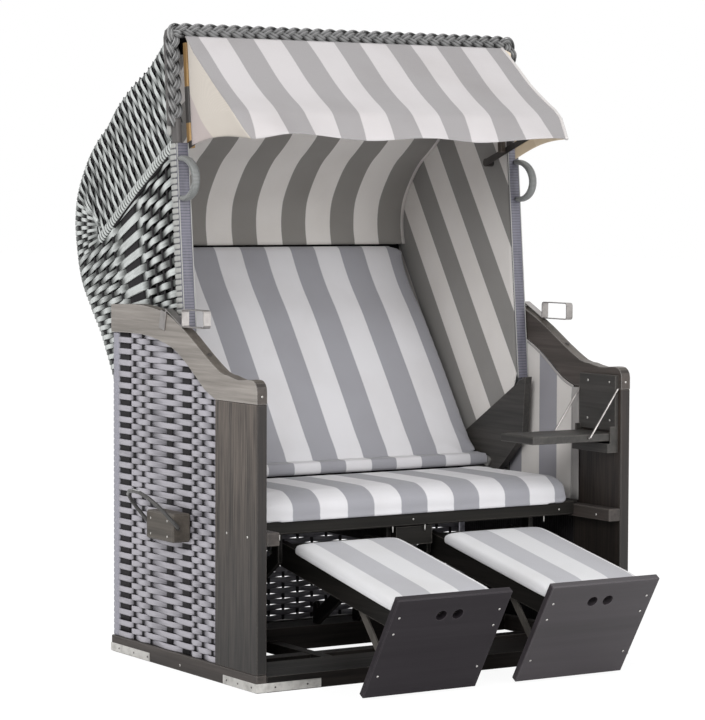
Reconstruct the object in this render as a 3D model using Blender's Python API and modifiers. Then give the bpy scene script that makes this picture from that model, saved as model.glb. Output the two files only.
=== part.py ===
"""Hooded beach chair: a two-seat woven basket chair with a tilting hood.

Metres, +Z up.  +X is to the right for someone who stands in front of the chair,
and +Y points from the front of the chair to its back.  Left and right in the
names are this viewer's.  Below, y = 0 is the plane of the front boards' faces,
and the empty that carries everything puts the middle of the front sill's
underside at the world origin.
"""
import math

import bmesh
import bpy
from mathutils import Vector

# Overall sizes of the basket
HEIGHT = 1.60
WIDTH = 1.10
DEPTH = 0.74
HOOD_DEPTH = 1.029

# Fits shared by all pieces
GAP = 0.0003
OVERRUN = 0.02
EASED_EDGE = 0.002
BORE_CLEARANCE = 0.0005
WELD = 0.000001
CLOTH = 0.0022

# Lower basket: side boards, rails and woven panels
SIDE_BOARD = 0.028
BOTTOM_RAIL_HEIGHT = 0.042
FRONT_BOARD_WIDTH = 0.20
ARM_FRONT_HEIGHT = 0.738
ARM_REAR_HEIGHT = 0.896
ARM_NOSE_RADIUS = 0.026
ARM_BAND = 0.064
ARM_NOSE_BAND = 0.056
WICKER_SET_BACK = 0.0025
STAKE_RECESS = 0.005
STAKE_BEVEL = 0.004
REAR_WALL_HEIGHT = 0.38
REAR_RAIL_HEIGHT = 0.045
REAR_RAIL_DEPTH = 0.028
REAR_WICKER_THICKNESS = 0.018
LINING_REAR = 0.485

# Floor frame
SILL_DEPTH = 0.18
SILL_HEIGHT = 0.038
FLOOR_BAR_HEIGHT = 0.028
FLOOR_BAR_WIDTH = 0.03
FLOOR_BAR_X = 0.21
FLOOR_CROSSBAR_FRONT = 0.29
FLOOR_CROSSBAR_DEPTH = 0.04
GUIDE_RAIL_FRONT = 0.505
GUIDE_RAIL_DEPTH = 0.09
GUIDE_RAIL_HEIGHT = 0.06

# Seat bearers
LEDGER_WIDTH = 0.0347
LEDGER_HEIGHT = 0.032
LEDGER_TOP = 0.378
LEDGER_REAR = 0.53
CROSS_RAIL_DEPTH = 0.032
FRONT_CROSS_RAIL_Y = 0.1855
CENTRE_BEAM_WIDTH = 0.107
CENTRE_BEAM_HEIGHT = 0.044
CENTRE_BEAM_FRONT = 0.162

# Sliding seat
SEAT_FRONT = 0.15
SEAT_REAR = 0.53
SEAT_BOARD = 0.0077
SEAT_BOARD_WIDTH = 1.03
SEAT_RAIL_DEPTH = 0.022
SEAT_RAIL_HEIGHT = 0.034
SEAT_CUSHION_WIDTH = 0.93
SEAT_CUSHION_THICKNESS = 0.072
SEAT_CROWN = 0.012

# Hood: front edge, shell and lining
HOOD_WIDTH = 1.032
HOOD_WALL = 0.012
HOOD_FRONT_TOP = 0.478
HOOD_FRONT_SLOPE = 0.09
HOOD_FRONT_BOTTOM = 0.69
FRAME_DEPTH = 0.030
STILE_WIDTH = 0.0165
STILE_EDGE = 0.004
BRAID_WIDTH = 0.034
BRAID_PROUD = 0.004
BRAID_RUN = 0.255
BRAID_CORNER_RADIUS = 0.02
HEAD_LINING_INSET = 0.046
BACKREST_BOARD = 0.009
BACKREST_BOARD_LENGTH = 0.31
CHEEK_BOARD = 0.021
BACK_CUSHION_INSET = 0.0225
BACK_CUSHION_EDGE = 0.006
HEM_RADIUS = 0.014

# Hood hinge
HINGE_Y = 0.53
HINGE_Z = 0.46
HINGE_PIN_RADIUS = 0.008
HINGE_PLATE = 0.004
HINGE_PLATE_SIZE = 0.08
HINGE_HEAD_RADIUS = 0.014
HINGE_HEAD = 0.004

# Pull loops on the hood's front edge
LOOP_RADIUS = 0.006
LOOP_DROP = 0.338
LOOP_HEIGHT = 0.098
LOOP_REACH = 0.066

# Awning and its bow
BOW_HINGE_Y = 0.55
BOW_HINGE_DROP = 0.338
BOW_Y = 0.218
BOW_DROP = 0.228
BOW_BAR = 0.003
BOW_BAR_WIDTH = 0.018
BOW_TIP_WIDTH = 0.011
BOW_TUBE_RADIUS = 0.006
BOW_X = 0.480
BOW_BOSS_RADIUS = 0.011
AWNING_WIDTH = 1.04
AWNING_THICKNESS = 0.0025
AWNING_DROP = 0.068
AWNING_WAVE = 0.007
AWNING_WAVES = 6
GUSSET_FRONT_DROP = 0.035
GUSSET_REAR_DROP = 0.20

# Latch over each arm rail
LATCH_Y = 0.455
LATCH_LENGTH = 0.03
LATCH_SHEET = 0.0025
LATCH_LEG = 0.042
LATCH_LIFT = 0.001
LATCH_BARREL_RADIUS = 0.003
LATCH_BARREL_SHIFT = -0.012
LEVER_WIDTH = 0.02
LEVER_OFFSET = 0.007
LEVER_STRIP = 0.0025
LEVER_TAIL = 0.005
LEVER_LIFT = 0.0037
LEVER_RUN = 0.082
RING_LENGTH = 0.108
RING_HEIGHT = 0.042
RING_CORNER = 0.006

# Carry handle on each side
CARRY_BLOCK_DEPTH = 0.137
CARRY_BLOCK_HEIGHT = 0.07
CARRY_BLOCK_THICKNESS = 0.048
CARRY_Y = 0.3915
CARRY_Z = 0.36
CARRY_PIN_INSET = 0.014
CARRY_ROD_RADIUS = 0.005
CARRY_PIN_LENGTH = 0.014
CARRY_REACH = 0.124
CARRY_LEAN = math.radians(43)
CARRY_STAND_OFF = 0.002

# Folding side tray
TRAY_LENGTH = 0.26
TRAY_DEPTH = 0.141
TRAY_FRONT = 0.0175
TRAY_THICKNESS = 0.02
TRAY_DROP = 0.168
TRAY_END_GAP = 0.002
TRAY_PIVOT_INSET = 0.014
TRAY_PIVOT_DROP = 0.005
TRAY_PIN_RADIUS = 0.003
TRAY_PIN_LENGTH = 0.012
TRAY_PLATE = 0.0097
TRAY_PLATE_DROP = 0.021
TRAY_PLATE_GAP = 0.007
TRAY_EAR = 0.0047
TRAY_EAR_DEPTH = 0.0235
TRAY_BLOCK_LENGTH = 0.0325
TRAY_BLOCK_HEIGHT = 0.023
TRAY_BLOCK_DROP = 0.0065
STAY_RADIUS = 0.0025
STAY_LOW_X = 0.43
STAY_TOP_DROP = 0.055
STAY_TOP_INSET = 0.0032

# Footrests
FOOT_CENTRE = 0.218
PANEL_WIDTH = 0.32
PANEL_HEIGHT = 0.291
PANEL_THICKNESS = 0.018
PANEL_TOP_Y = -0.346
PANEL_TOP_Z = 0.25
PANEL_TILT = math.radians(31.6)
FINGER_HOLE_RADIUS = 0.0145
FINGER_HOLE_SPACING = 0.046
FINGER_HOLE_DROP = 0.055
CARRIAGE_Y = 0.225
CARRIAGE_Z = 0.30
CARRIAGE_RADIUS = 0.006
CARRIAGE_RUN = 0.2875
CARRIAGE_FALL = 0.188
BOARD_SLOPE = math.radians(10.4)
BOARD_DEPTH = 0.058
BOARD_THICKNESS = 0.02
BOARD_INSET = 0.022
BOARD_ABOVE_PIVOT = 0.026
BOARD_REAR = 0.024
SLAT_THICKNESS = 0.008
FOOT_CUSHION_WIDTH = 0.30
FOOT_CUSHION_THICKNESS = 0.014
FOOT_CUSHION_CROWN = 0.012
FOOT_CUSHION_FRONT_GAP = 0.014
FOOT_CUSHION_LENGTH = 0.44
BRACE_WIDTH = 0.02
BRACE_THICKNESS = 0.005
BRACE_TOP_RUN = 0.34
BRACE_PANEL_DROP = 0.20
GUIDE_THICKNESS = 0.012
GUIDE_DEPTH = 0.035
GUIDE_STOP = 0.02
GUIDE_STOP_LENGTH = 0.015
GUIDE_CLEARANCE = 0.0015

# Outlines, as shares of the sizes they follow
ARM_TOP_SHARES = [
    (0.12, -0.02), (0.184, 0.03), (0.238, 0.07), (0.342, 0.31), (0.443, 0.576),
    (0.546, 0.804), (0.63, 0.924), (0.773, 1.0), (0.87, 1.0), (1.0, 0.98),
]
ARM_LOW_SHARES = [
    (0.342, 0.18), (0.409, 0.39), (0.512, 0.674), (0.601, 0.822), (0.723, 0.92),
    (0.831, 0.945), (0.965, 0.94), (1.0, 0.935),
]
STAKE_COLUMN_SHARES = [(0.252, 0.328), (0.4185, 0.478), (0.833, 0.937)]
HOOD_OUTLINE_SHARES = [
    (0.1793, 0.9046), (0.3711, 0.8632), (0.5257, 0.8218), (0.6391, 0.7782), (0.7629, 0.7432),
    (0.866, 0.6996), (0.967, 0.6337), (1, 0.5733), (0.9897, 0.5144), (0.9319, 0.4274),
    (0.8227, 0.3656), (0.7134, 0.3109), (0.5876, 0.2246), (0.4566, 0.1242), (0.2525, -0.0351),
]
LEVER_FREE_SHARE = 0.8
HOOD_TOP_START_SHARE = 0.9782
CHEEK_SHARES = [
    (-0.3424, 0.2063), (-0.2888, 0.1958), (0.2102, 0.066), (0.2844, 0.0393), (0.2308, -0.0133),
    (0.0597, -0.0309), (-0.0599, -0.0309), (-0.1527, 0.0042), (-0.3187, 0.0723),
]
HOOD_SIDE_LOW_SHARES = [
    (0.2298, -0.0168), (0.1339, 0.0175), (-0.0001, 0.0351), (-0.1239, 0.0709),
]
LINING_LOW_SHARES = [
    (0.2576, 0.026), (0.1339, 0.0428), (-0.0001, 0.054), (-0.0929, 0.0765),
]
CUSHION_FRONT_SHARES = [
    (0.8629, 0.5088), (0.8041, 0.4611), (0.701, 0.4035), (0.6154, 0.3719), (0.501, 0.2877),
    (0.3236, 0.1775), (0.1525, 0.0681), (0.0824, 0.0491),
]
CUSHION_TOP_SHARE = 0.5102
HEM_SHARE = (0.0091, 0.0351)
BAIL_SHARES = [
    (0.5, 0.18), (0.485, 0.42), (0.44, 0.66), (0.34, 0.86), (0.18, 0.975), (0.0, 1.0),
]

HALF_WIDTH = WIDTH / 2
BOW_HINGE_Z = HEIGHT - BOW_HINGE_DROP
BOW_Z = HEIGHT - BOW_DROP
TRAY_TOP = ARM_FRONT_HEIGHT - TRAY_DROP
TRAY_PLATE_TOP = ARM_FRONT_HEIGHT - TRAY_PLATE_DROP
STAY_TOP_Z = ARM_FRONT_HEIGHT - STAY_TOP_DROP
SIDE_INNER = HALF_WIDTH - SIDE_BOARD
HOOD_HALF = HOOD_WIDTH / 2
HOOD_INNER = HOOD_HALF - HOOD_WALL
LINING_OUTER = HOOD_INNER - GAP
LINING_INNER = LINING_OUTER - CLOTH
CHEEK_INNER = LINING_INNER - GAP - CHEEK_BOARD
LEDGER_INNER = SIDE_INNER - GAP - LEDGER_WIDTH
LEDGER_BOTTOM = LEDGER_TOP - LEDGER_HEIGHT
HOOD_LEAN = math.atan(HOOD_FRONT_SLOPE)
FRAME_RUN = FRAME_DEPTH / math.cos(HOOD_LEAN)
BEHIND_FRAME = FRAME_RUN + GAP
SEAT_TOP = LEDGER_TOP + GAP + SEAT_BOARD
SIDES = {"left": -1, "right": 1}

MATERIALS = {
    "stained wood": ("#3E3937", 0.62, 0.0),
    "arm board": ("#6E6964", 0.6, 0.0),
    "woven strip": ("#A7A5AE", 0.5, 0.0),
    "wrapped edge": ("#8F90A5", 0.5, 0.0),
    "lining cloth": ("#B5B2B2", 0.9, 0.0),
    "cushion cloth": ("#D9D7DA", 0.9, 0.0),
    "awning cloth": ("#C9C5C4", 0.9, 0.0),
    "dark board": ("#343230", 0.55, 0.0),
    "zinc plated steel": ("#B9BAB8", 0.35, 1.0),
    "black steel": ("#2B2A29", 0.45, 1.0),
    "black cord": ("#2A2A2E", 0.6, 0.0),
}


def clear_scene():
    for old in list(bpy.data.objects):
        bpy.data.objects.remove(old, do_unlink=True)


def collection(name):
    made = bpy.data.collections.new(name)
    bpy.context.scene.collection.children.link(made)
    return made


def linear(hexa):
    """Scene-linear RGB of a hex colour."""
    shares = [int(hexa[i:i + 2], 16) / 255 for i in (1, 3, 5)]
    return [c / 12.92 if c <= 0.04045 else ((c + 0.055) / 1.055) ** 2.4 for c in shares]


def material(node, kind):
    """Each sub-part's own material, with the look of its kind."""
    colour, roughness, metallic = MATERIALS[kind]
    made = bpy.data.materials.new(node + " " + kind)
    made.use_nodes = True
    shader = made.node_tree.nodes["Principled BSDF"]
    shader.inputs["Base Color"].default_value = (*linear(colour), 1.0)
    shader.inputs["Roughness"].default_value = roughness
    shader.inputs["Metallic"].default_value = metallic
    return made


clear_scene()
CHAIR = collection("hooded beach chair")
CUTTERS = collection("cutters")


def empty(name, place, parent=None):
    """An empty that carries pieces; place is given in the chair's own frame."""
    made = bpy.data.objects.new(name, None)
    made["place"] = list(place)
    CHAIR.objects.link(made)
    if parent:
        made.parent = parent
        made.location = Vector(place) - Vector(parent["place"])
    return made


ROOT = empty("chair", (0, 0, 0))
ROOT.location = (0, -SILL_DEPTH / 2, 0)


def dress(made, name, kind, parent):
    """Name a piece, give it its material and hang it on what carries it."""
    made.name = name
    made.data.name = name
    made.data.materials.clear()
    made.data.materials.append(material(name, kind))
    for holder in list(made.users_collection):
        holder.objects.unlink(made)
    CHAIR.objects.link(made)
    made.parent = parent
    made.location = made.location - Vector(parent["place"])
    return made


def box(x, y, z):
    """A block between pairs of coordinates, its origin at its middle."""
    bpy.ops.mesh.primitive_cube_add(size=1)
    made = bpy.context.object
    made.scale = (abs(x[1] - x[0]), abs(y[1] - y[0]), abs(z[1] - z[0]))
    bpy.ops.object.transform_apply(location=False, rotation=False, scale=True)
    made.location = (sum(x) / 2, sum(y) / 2, sum(z) / 2)
    return made


def ease(made, width=EASED_EDGE, segments=1, angle=math.radians(40)):
    """Rounded edges."""
    bevel = made.modifiers.new("eased edges", "BEVEL")
    bevel.width = width
    bevel.segments = segments
    bevel.limit_method = "ANGLE"
    bevel.angle_limit = angle
    return made


def board(name, x, y, z, kind, parent):
    return ease(dress(box(x, y, z), name, kind, parent))


def flat(outline, across, axis="X"):
    """A plate with this outline, between two coordinates across it.

    The outline is in (y, z) for a plate across X, in (x, z) for one across Y,
    and in (x, y) for one across Z.
    """
    curve = bpy.data.curves.new("outline", "CURVE")
    curve.dimensions = "2D"
    curve.fill_mode = "BOTH"
    curve.extrude = abs(across[1] - across[0]) / 2
    spline = curve.splines.new("POLY")
    spline.points.add(len(outline) - 1)
    for point, (a, b) in zip(spline.points, outline):
        point.co = (a, b, 0, 1)
    spline.use_cyclic_u = True
    made = bpy.data.objects.new("outline", curve)
    CHAIR.objects.link(made)
    middle = sum(across) / 2
    if axis == "X":
        made.rotation_euler = (math.pi / 2, 0, math.pi / 2)
        made.location = (middle, 0, 0)
    elif axis == "Y":
        made.rotation_euler = (math.pi / 2, 0, 0)
        made.location = (0, middle, 0)
    else:
        made.location = (0, 0, middle)
    return made


def rod(points, radius, sides=2, cyclic=False):
    """A round rod along points in the chair's frame."""
    curve = bpy.data.curves.new("rod", "CURVE")
    curve.dimensions = "3D"
    curve.bevel_depth = radius
    curve.bevel_resolution = sides
    curve.use_fill_caps = True
    spline = curve.splines.new("POLY")
    spline.points.add(len(points) - 1)
    for point, place in zip(spline.points, points):
        point.co = (*place, 1)
    spline.use_cyclic_u = cyclic
    made = bpy.data.objects.new("rod", curve)
    CHAIR.objects.link(made)
    return made


def cylinder(start, end, radius, sides=24):
    """A cylinder between two points."""
    start, end = Vector(start), Vector(end)
    bpy.ops.mesh.primitive_cylinder_add(
        vertices=sides, radius=radius, depth=(end - start).length)
    made = bpy.context.object
    made.rotation_euler = (end - start).to_track_quat("Z", "Y").to_euler()
    made.location = (start + end) / 2
    return made


def as_mesh(made):
    """The mesh of a curve, with its caps welded, in the same place."""
    bpy.context.view_layer.update()
    graph = bpy.context.evaluated_depsgraph_get()
    mesh = bpy.data.meshes.new_from_object(made.evaluated_get(graph))
    body = bmesh.new()
    body.from_mesh(mesh)
    bmesh.ops.remove_doubles(body, verts=body.verts, dist=WELD)
    bmesh.ops.recalc_face_normals(body, faces=body.faces)
    body.to_mesh(mesh)
    body.free()
    solid = bpy.data.objects.new(made.name, mesh)
    solid.matrix_world = made.matrix_world
    CHAIR.objects.link(solid)
    bpy.data.objects.remove(made, do_unlink=True)
    return solid


def combine(made, others, operation):
    """Join to a piece, or cut from it, solids that stand in the same frame."""
    for other in others:
        if other.type == "CURVE":
            other = as_mesh(other)
        for holder in list(other.users_collection):
            holder.objects.unlink(other)
        CUTTERS.objects.link(other)
        other.name = "cutter"
        other.hide_render = True
        other.display_type = "WIRE"
        other.parent = ROOT
        cut = made.modifiers.new(operation.lower(), "BOOLEAN")
        cut.operation = operation
        cut.solver = "EXACT"
        cut.object = other
    return made


def smooth(points, steps=3):
    """Points on a smooth curve through the given points."""
    ends = [points[0]] + list(points) + [points[-1]]
    curve = []
    for before, start, end, after in zip(ends, ends[1:], ends[2:], ends[3:]):
        for step in range(steps):
            t = step / steps
            curve.append(tuple(
                0.5 * (2 * b + (c - a) * t + (2 * a - 5 * b + 4 * c - d) * t ** 2
                       + (3 * b - a - 3 * c + d) * t ** 3)
                for a, b, c, d in zip(before, start, end, after)))
    return curve + [tuple(points[-1])]


def offset(points, distance):
    """The points moved sideways, to the right of the way they run."""
    moved = []
    for i, (a, b) in enumerate(points):
        back = points[max(i - 1, 0)]
        ahead = points[min(i + 1, len(points) - 1)]
        run, rise = ahead[0] - back[0], ahead[1] - back[1]
        length = math.hypot(run, rise)
        moved.append((a + rise / length * distance, b - run / length * distance))
    return moved


def strip(points, thickness):
    """The outline of a bent strip along a middle line."""
    return offset(points, -thickness / 2) + offset(points, thickness / 2)[::-1]


def arc(centre, radius, start, end, steps):
    """Points on an arc, angles in degrees."""
    turn = [math.radians(start + (end - start) * i / steps) for i in range(steps + 1)]
    return [(centre[0] + radius * math.cos(a), centre[1] + radius * math.sin(a))
            for a in turn]


def across(side, inner, outer):
    """A pair of x coordinates on one side of the chair."""
    return tuple(sorted((side * inner, side * outer)))


# Arm rails: one board each, sawn to the S-shaped line of the arm
ARM_RISE = ARM_REAR_HEIGHT - ARM_FRONT_HEIGHT


def arm_line(shares, drop=0.0):
    return smooth([(y * DEPTH, ARM_FRONT_HEIGHT + z * ARM_RISE - drop) for y, z in shares], 2)


ARM_LOW_FRONT = ARM_FRONT_HEIGHT - ARM_NOSE_BAND
ARM_TOP = arm_line([(0.06, 0.0)] + ARM_TOP_SHARES)
ARM_LOW = [(FRONT_BOARD_WIDTH, ARM_LOW_FRONT)] + arm_line(ARM_LOW_SHARES, ARM_BAND)


def height_on(line, y):
    """The height of a line of points at y."""
    for (a, low), (b, high) in zip(line, line[1:]):
        if a <= y <= b:
            return low + (high - low) * (y - a) / (b - a)
    return line[-1][1]


def arm_outline():
    nose = arc((ARM_NOSE_RADIUS, ARM_FRONT_HEIGHT - ARM_NOSE_RADIUS), ARM_NOSE_RADIUS, 180, 90, 4)
    return [(0, ARM_LOW_FRONT)] + nose + ARM_TOP + ARM_LOW[::-1]


# Lower basket
def lower_basket():
    wicker_outer = HALF_WIDTH - WICKER_SET_BACK
    panel_front = FRONT_BOARD_WIDTH + GAP
    panel_length = DEPTH - panel_front
    panel_bottom = BOTTOM_RAIL_HEIGHT + GAP
    for word, side in SIDES.items():
        span = across(side, SIDE_INNER, HALF_WIDTH)
        board("bottom_rail_" + word, span, (0, DEPTH), (0, BOTTOM_RAIL_HEIGHT),
              "stained wood", ROOT)
        board("front_board_" + word, span, (0, FRONT_BOARD_WIDTH),
              (panel_bottom, ARM_LOW_FRONT - GAP), "stained wood", ROOT)
        ease(dress(as_mesh(flat(arm_outline(), span)), "arm_rail_" + word, "arm board", ROOT))

        # The woven panel in plan: the wide stake columns lie deeper than the strips
        face = []
        for start, end in STAKE_COLUMN_SHARES:
            a = panel_front + start * panel_length
            b = panel_front + end * panel_length
            deep = wicker_outer - STAKE_RECESS
            face += [(wicker_outer, a), (deep, a + STAKE_BEVEL)]
            face += [(deep, b - STAKE_BEVEL), (wicker_outer, b)]
        plan = [(SIDE_INNER, panel_front), (wicker_outer, panel_front)] + face
        plan += [(wicker_outer, DEPTH), (SIDE_INNER, DEPTH)]
        panel = as_mesh(flat([(side * x, y) for x, y in plan], (panel_bottom, ARM_REAR_HEIGHT), "Z"))
        dress(panel, "side_wicker_" + word, "woven strip", ROOT)
        over_arm = [(y, z - GAP) for y, z in ARM_LOW]
        over_arm = [(-OVERRUN, over_arm[0][1])] + over_arm + [(DEPTH + OVERRUN, over_arm[-1][1])]
        over_arm += [(DEPTH + OVERRUN, HEIGHT), (-OVERRUN, HEIGHT)]
        above = flat(over_arm, across(side, SIDE_INNER - OVERRUN, HALF_WIDTH + OVERRUN))
        combine(panel, [above], "DIFFERENCE")

        # Striped lining on the inside of the panel
        cloth = [(panel_front, LEDGER_TOP + GAP), (panel_front, ARM_LOW_FRONT - GAP)]
        cloth += [(y, z - GAP) for y, z in ARM_LOW if panel_front < y < LINING_REAR]
        cloth += [(LINING_REAR, height_on(ARM_LOW, LINING_REAR) - GAP)]
        cloth += [(LINING_REAR, LEDGER_TOP + GAP)]
        inner_face = SIDE_INNER - GAP
        dress(flat(cloth, across(side, inner_face - CLOTH, inner_face)),
              "side_lining_" + word, "lining cloth", ROOT)

    # Low rear wall: a woven panel under a wrapped rail
    wall = SIDE_INNER - GAP
    rail_bottom = REAR_WALL_HEIGHT - REAR_RAIL_HEIGHT
    middle = DEPTH - REAR_RAIL_DEPTH / 2
    half = REAR_WICKER_THICKNESS / 2
    wicker = box((-wall, wall), (middle - half, middle + half),
                 (panel_bottom, rail_bottom + EASED_EDGE))
    dress(wicker, "rear_wicker", "woven strip", ROOT)
    rail = box((-wall, wall), (DEPTH - REAR_RAIL_DEPTH, DEPTH), (rail_bottom, REAR_WALL_HEIGHT))
    combine(wicker, [rail], "UNION")


def floor_frame():
    """Sill, two bars, a crossbar, the rail under the footrest guides and the rear rail."""
    wall = SIDE_INNER - GAP
    frame = box((-wall, wall), (0, SILL_DEPTH), (0, SILL_HEIGHT))
    dress(frame, "floor_frame", "stained wood", ROOT)
    rear = DEPTH - REAR_RAIL_DEPTH
    bars = [box((-wall, wall), (rear, DEPTH), (0, BOTTOM_RAIL_HEIGHT)),
            box((-wall, wall), (GUIDE_RAIL_FRONT, GUIDE_RAIL_FRONT + GUIDE_RAIL_DEPTH),
                (0, GUIDE_RAIL_HEIGHT)),
            box((-wall, wall), (FLOOR_CROSSBAR_FRONT, FLOOR_CROSSBAR_FRONT + FLOOR_CROSSBAR_DEPTH),
                (0, FLOOR_BAR_HEIGHT - EASED_EDGE))]
    for side in SIDES.values():
        x = (side * FLOOR_BAR_X - FLOOR_BAR_WIDTH / 2, side * FLOOR_BAR_X + FLOOR_BAR_WIDTH / 2)
        bars.append(box(x, (SILL_DEPTH - EASED_EDGE, rear + EASED_EDGE), (0, FLOOR_BAR_HEIGHT)))
    combine(frame, bars, "UNION")


def seat_bearers():
    for word, side in SIDES.items():
        board("ledger_" + word, across(side, LEDGER_INNER, SIDE_INNER - GAP), (0, LEDGER_REAR),
              (LEDGER_BOTTOM, LEDGER_TOP), "stained wood", ROOT)
    reach = LEDGER_INNER - GAP
    rail_z = (LEDGER_BOTTOM + GAP, LEDGER_TOP - GAP)
    front = (FRONT_CROSS_RAIL_Y, FRONT_CROSS_RAIL_Y + CROSS_RAIL_DEPTH)
    bearer = box((-reach, reach), front, rail_z)
    dress(bearer, "seat_bearer", "dark board", ROOT)
    rear_rail = box((-reach, reach), (LEDGER_REAR - CROSS_RAIL_DEPTH, LEDGER_REAR), rail_z)
    beam = box((-CENTRE_BEAM_WIDTH / 2, CENTRE_BEAM_WIDTH / 2),
               (CENTRE_BEAM_FRONT, LEDGER_REAR - EASED_EDGE),
               (LEDGER_BOTTOM - CENTRE_BEAM_HEIGHT, LEDGER_BOTTOM + EASED_EDGE))
    combine(bearer, [rear_rail, beam], "UNION")


def cushion_block(x, y, z, crown, cuts=3):
    """A padded block: a cage with a crowned top and drawn-in sides, subdivided."""
    made = box(x, y, z)
    half = [abs(p[1] - p[0]) / 2 for p in (x, y, z)]
    body = bmesh.new()
    body.from_mesh(made.data)
    bmesh.ops.subdivide_edges(body, edges=body.edges, cuts=cuts, use_grid_fill=True)
    for vert in body.verts:
        u, v, w = (c / h for c, h in zip(vert.co, half))
        lift = crown * (1 - u ** 4) * (1 - v ** 4)
        vert.co.z += lift * max(w, 0)
        pinch = 1 - 2 * crown / max(half[0], half[1]) * abs(w) ** 2
        vert.co.x *= pinch if abs(u) > 0.99 else 1
        vert.co.y *= pinch if abs(v) > 0.99 else 1
    body.to_mesh(made.data)
    body.free()
    sub = made.modifiers.new("padding", "SUBSURF")
    sub.levels = 1
    sub.render_levels = 1
    return made


def seat():
    carrier = empty("seat_slide", (0, SEAT_FRONT, LEDGER_TOP), ROOT)
    reach = LEDGER_INNER - GAP
    board("seat_rail", (-reach, reach), (SEAT_FRONT, SEAT_FRONT + SEAT_RAIL_DEPTH),
          (SEAT_TOP - SEAT_RAIL_HEIGHT, SEAT_TOP), "dark board", carrier)
    board("seat_board", (-SEAT_BOARD_WIDTH / 2, SEAT_BOARD_WIDTH / 2),
          (SEAT_FRONT + SEAT_RAIL_DEPTH + GAP, SEAT_REAR), (LEDGER_TOP + GAP, SEAT_TOP),
          "dark board", carrier)
    cushion_low = SEAT_TOP + GAP
    cushion = cushion_block((-SEAT_CUSHION_WIDTH / 2, SEAT_CUSHION_WIDTH / 2),
                            (SEAT_FRONT, SEAT_REAR),
                            (cushion_low, cushion_low + SEAT_CUSHION_THICKNESS), SEAT_CROWN)
    dress(cushion, "seat_cushion", "cushion cloth", carrier)


# Hood: everything below hangs on the hinge's empty
def front_edge(z):
    """The hood's front edge leans back a little towards its top."""
    return HOOD_FRONT_TOP - HOOD_FRONT_SLOPE * (HEIGHT - z)


def from_hinge(y_share, z_share):
    """A point of the hood, from the hinge towards its rearmost point and its top."""
    return (HINGE_Y + y_share * (HOOD_DEPTH - HINGE_Y), HINGE_Z + z_share * (HEIGHT - HINGE_Z))


def scaled(shares):
    return [from_hinge(y, z) for y, z in shares]


def hood_line():
    """The shell's outer line, from behind the front frame over the top and down the back."""
    start = (front_edge(HEIGHT) + BEHIND_FRAME, from_hinge(0, HOOD_TOP_START_SHARE)[1])
    return smooth([start] + scaled(HOOD_OUTLINE_SHARES), 2)


def clear_of_frame(line):
    """The part of a line that lies behind the front frame, from the frame's rear face on."""
    kept = []
    for a, b in zip(line, line[1:]):
        before = a[0] - front_edge(a[1]) - BEHIND_FRAME
        after = b[0] - front_edge(b[1]) - BEHIND_FRAME
        if before < 0 <= after:
            t = before / (before - after)
            kept.append((a[0] + (b[0] - a[0]) * t, a[1] + (b[1] - a[1]) * t))
        if after >= 0:
            kept.append(b)
    return kept


def between(line, low, high):
    return [(y, z) for y, z in line if low <= z <= high]


def hood(hinge):
    outer = hood_line()
    inner = clear_of_frame(offset(outer, HOOD_WALL))
    dress(flat(outer + inner[::-1], (-HOOD_HALF, HOOD_HALF)), "hood_back", "woven strip", hinge)

    # Flat woven sides inside the shell's edges
    rim = offset(outer, HOOD_WALL + GAP)
    rear_run = [p for p in rim if p[1] > from_hinge(*HOOD_SIDE_LOW_SHARES[0])[1] + HOOD_WALL]
    edge_top = rear_run[0][1] - HOOD_WALL
    side_outline = [(front_edge(HOOD_FRONT_BOTTOM) + BEHIND_FRAME, HOOD_FRONT_BOTTOM),
                    (front_edge(edge_top) + BEHIND_FRAME, edge_top)]
    side_outline += rear_run[1:] + scaled(HOOD_SIDE_LOW_SHARES)
    for word, side in SIDES.items():
        dress(flat(side_outline, across(side, HOOD_INNER, HOOD_HALF)),
              "hood_side_" + word, "woven strip", hinge)

    front_frame(hinge)
    lining(hinge, outer)

    # Cheek boards carry the hinge pins
    for word, side in SIDES.items():
        cheek = as_mesh(flat(scaled(CHEEK_SHARES), across(side, CHEEK_INNER, LINING_INNER - GAP)))
        dress(cheek, "cheek_board_" + word, "dark board", hinge)
        bore = cylinder((side * (CHEEK_INNER - OVERRUN), HINGE_Y, HINGE_Z),
                        (side * (LINING_INNER + OVERRUN), HINGE_Y, HINGE_Z),
                        HINGE_PIN_RADIUS + BORE_CLEARANCE)
        combine(cheek, [bore], "DIFFERENCE")
    backrest(hinge, outer)


def front_frame(hinge):
    """Wrapped stiles, with the braid round their upper ends and over the top."""
    stretch = 1 / math.cos(HOOD_LEAN)
    braid_outer = HOOD_HALF + BRAID_PROUD
    braid_inner = braid_outer - BRAID_WIDTH
    stile_inner = HOOD_HALF - STILE_WIDTH
    corner = BRAID_CORNER_RADIUS
    drop = BRAID_RUN * stretch
    foot = (HEIGHT - HOOD_FRONT_BOTTOM) * stretch
    half = [(0.0, -BRAID_WIDTH), (braid_inner, -BRAID_WIDTH), (braid_inner, -drop),
            (stile_inner, -drop), (stile_inner, -foot), (HOOD_HALF, -foot),
            (HOOD_HALF, -drop), (braid_outer, -drop)]
    half += arc((braid_outer - corner, -corner), corner, 0, 90, 4)
    outline = half[1:] + [(-x, z) for x, z in reversed(half[1:])]
    frame = as_mesh(flat(outline, (0, FRAME_DEPTH), "Y"))
    frame.rotation_euler.x = math.pi / 2 - HOOD_LEAN
    level = HEIGHT - FRAME_DEPTH / 2 * math.sin(HOOD_LEAN)
    frame.location = (0, front_edge(level) + FRAME_RUN / 2, level)
    dress(frame, "hood_front_frame", "wrapped edge", hinge)
    ease(frame, STILE_EDGE)


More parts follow.
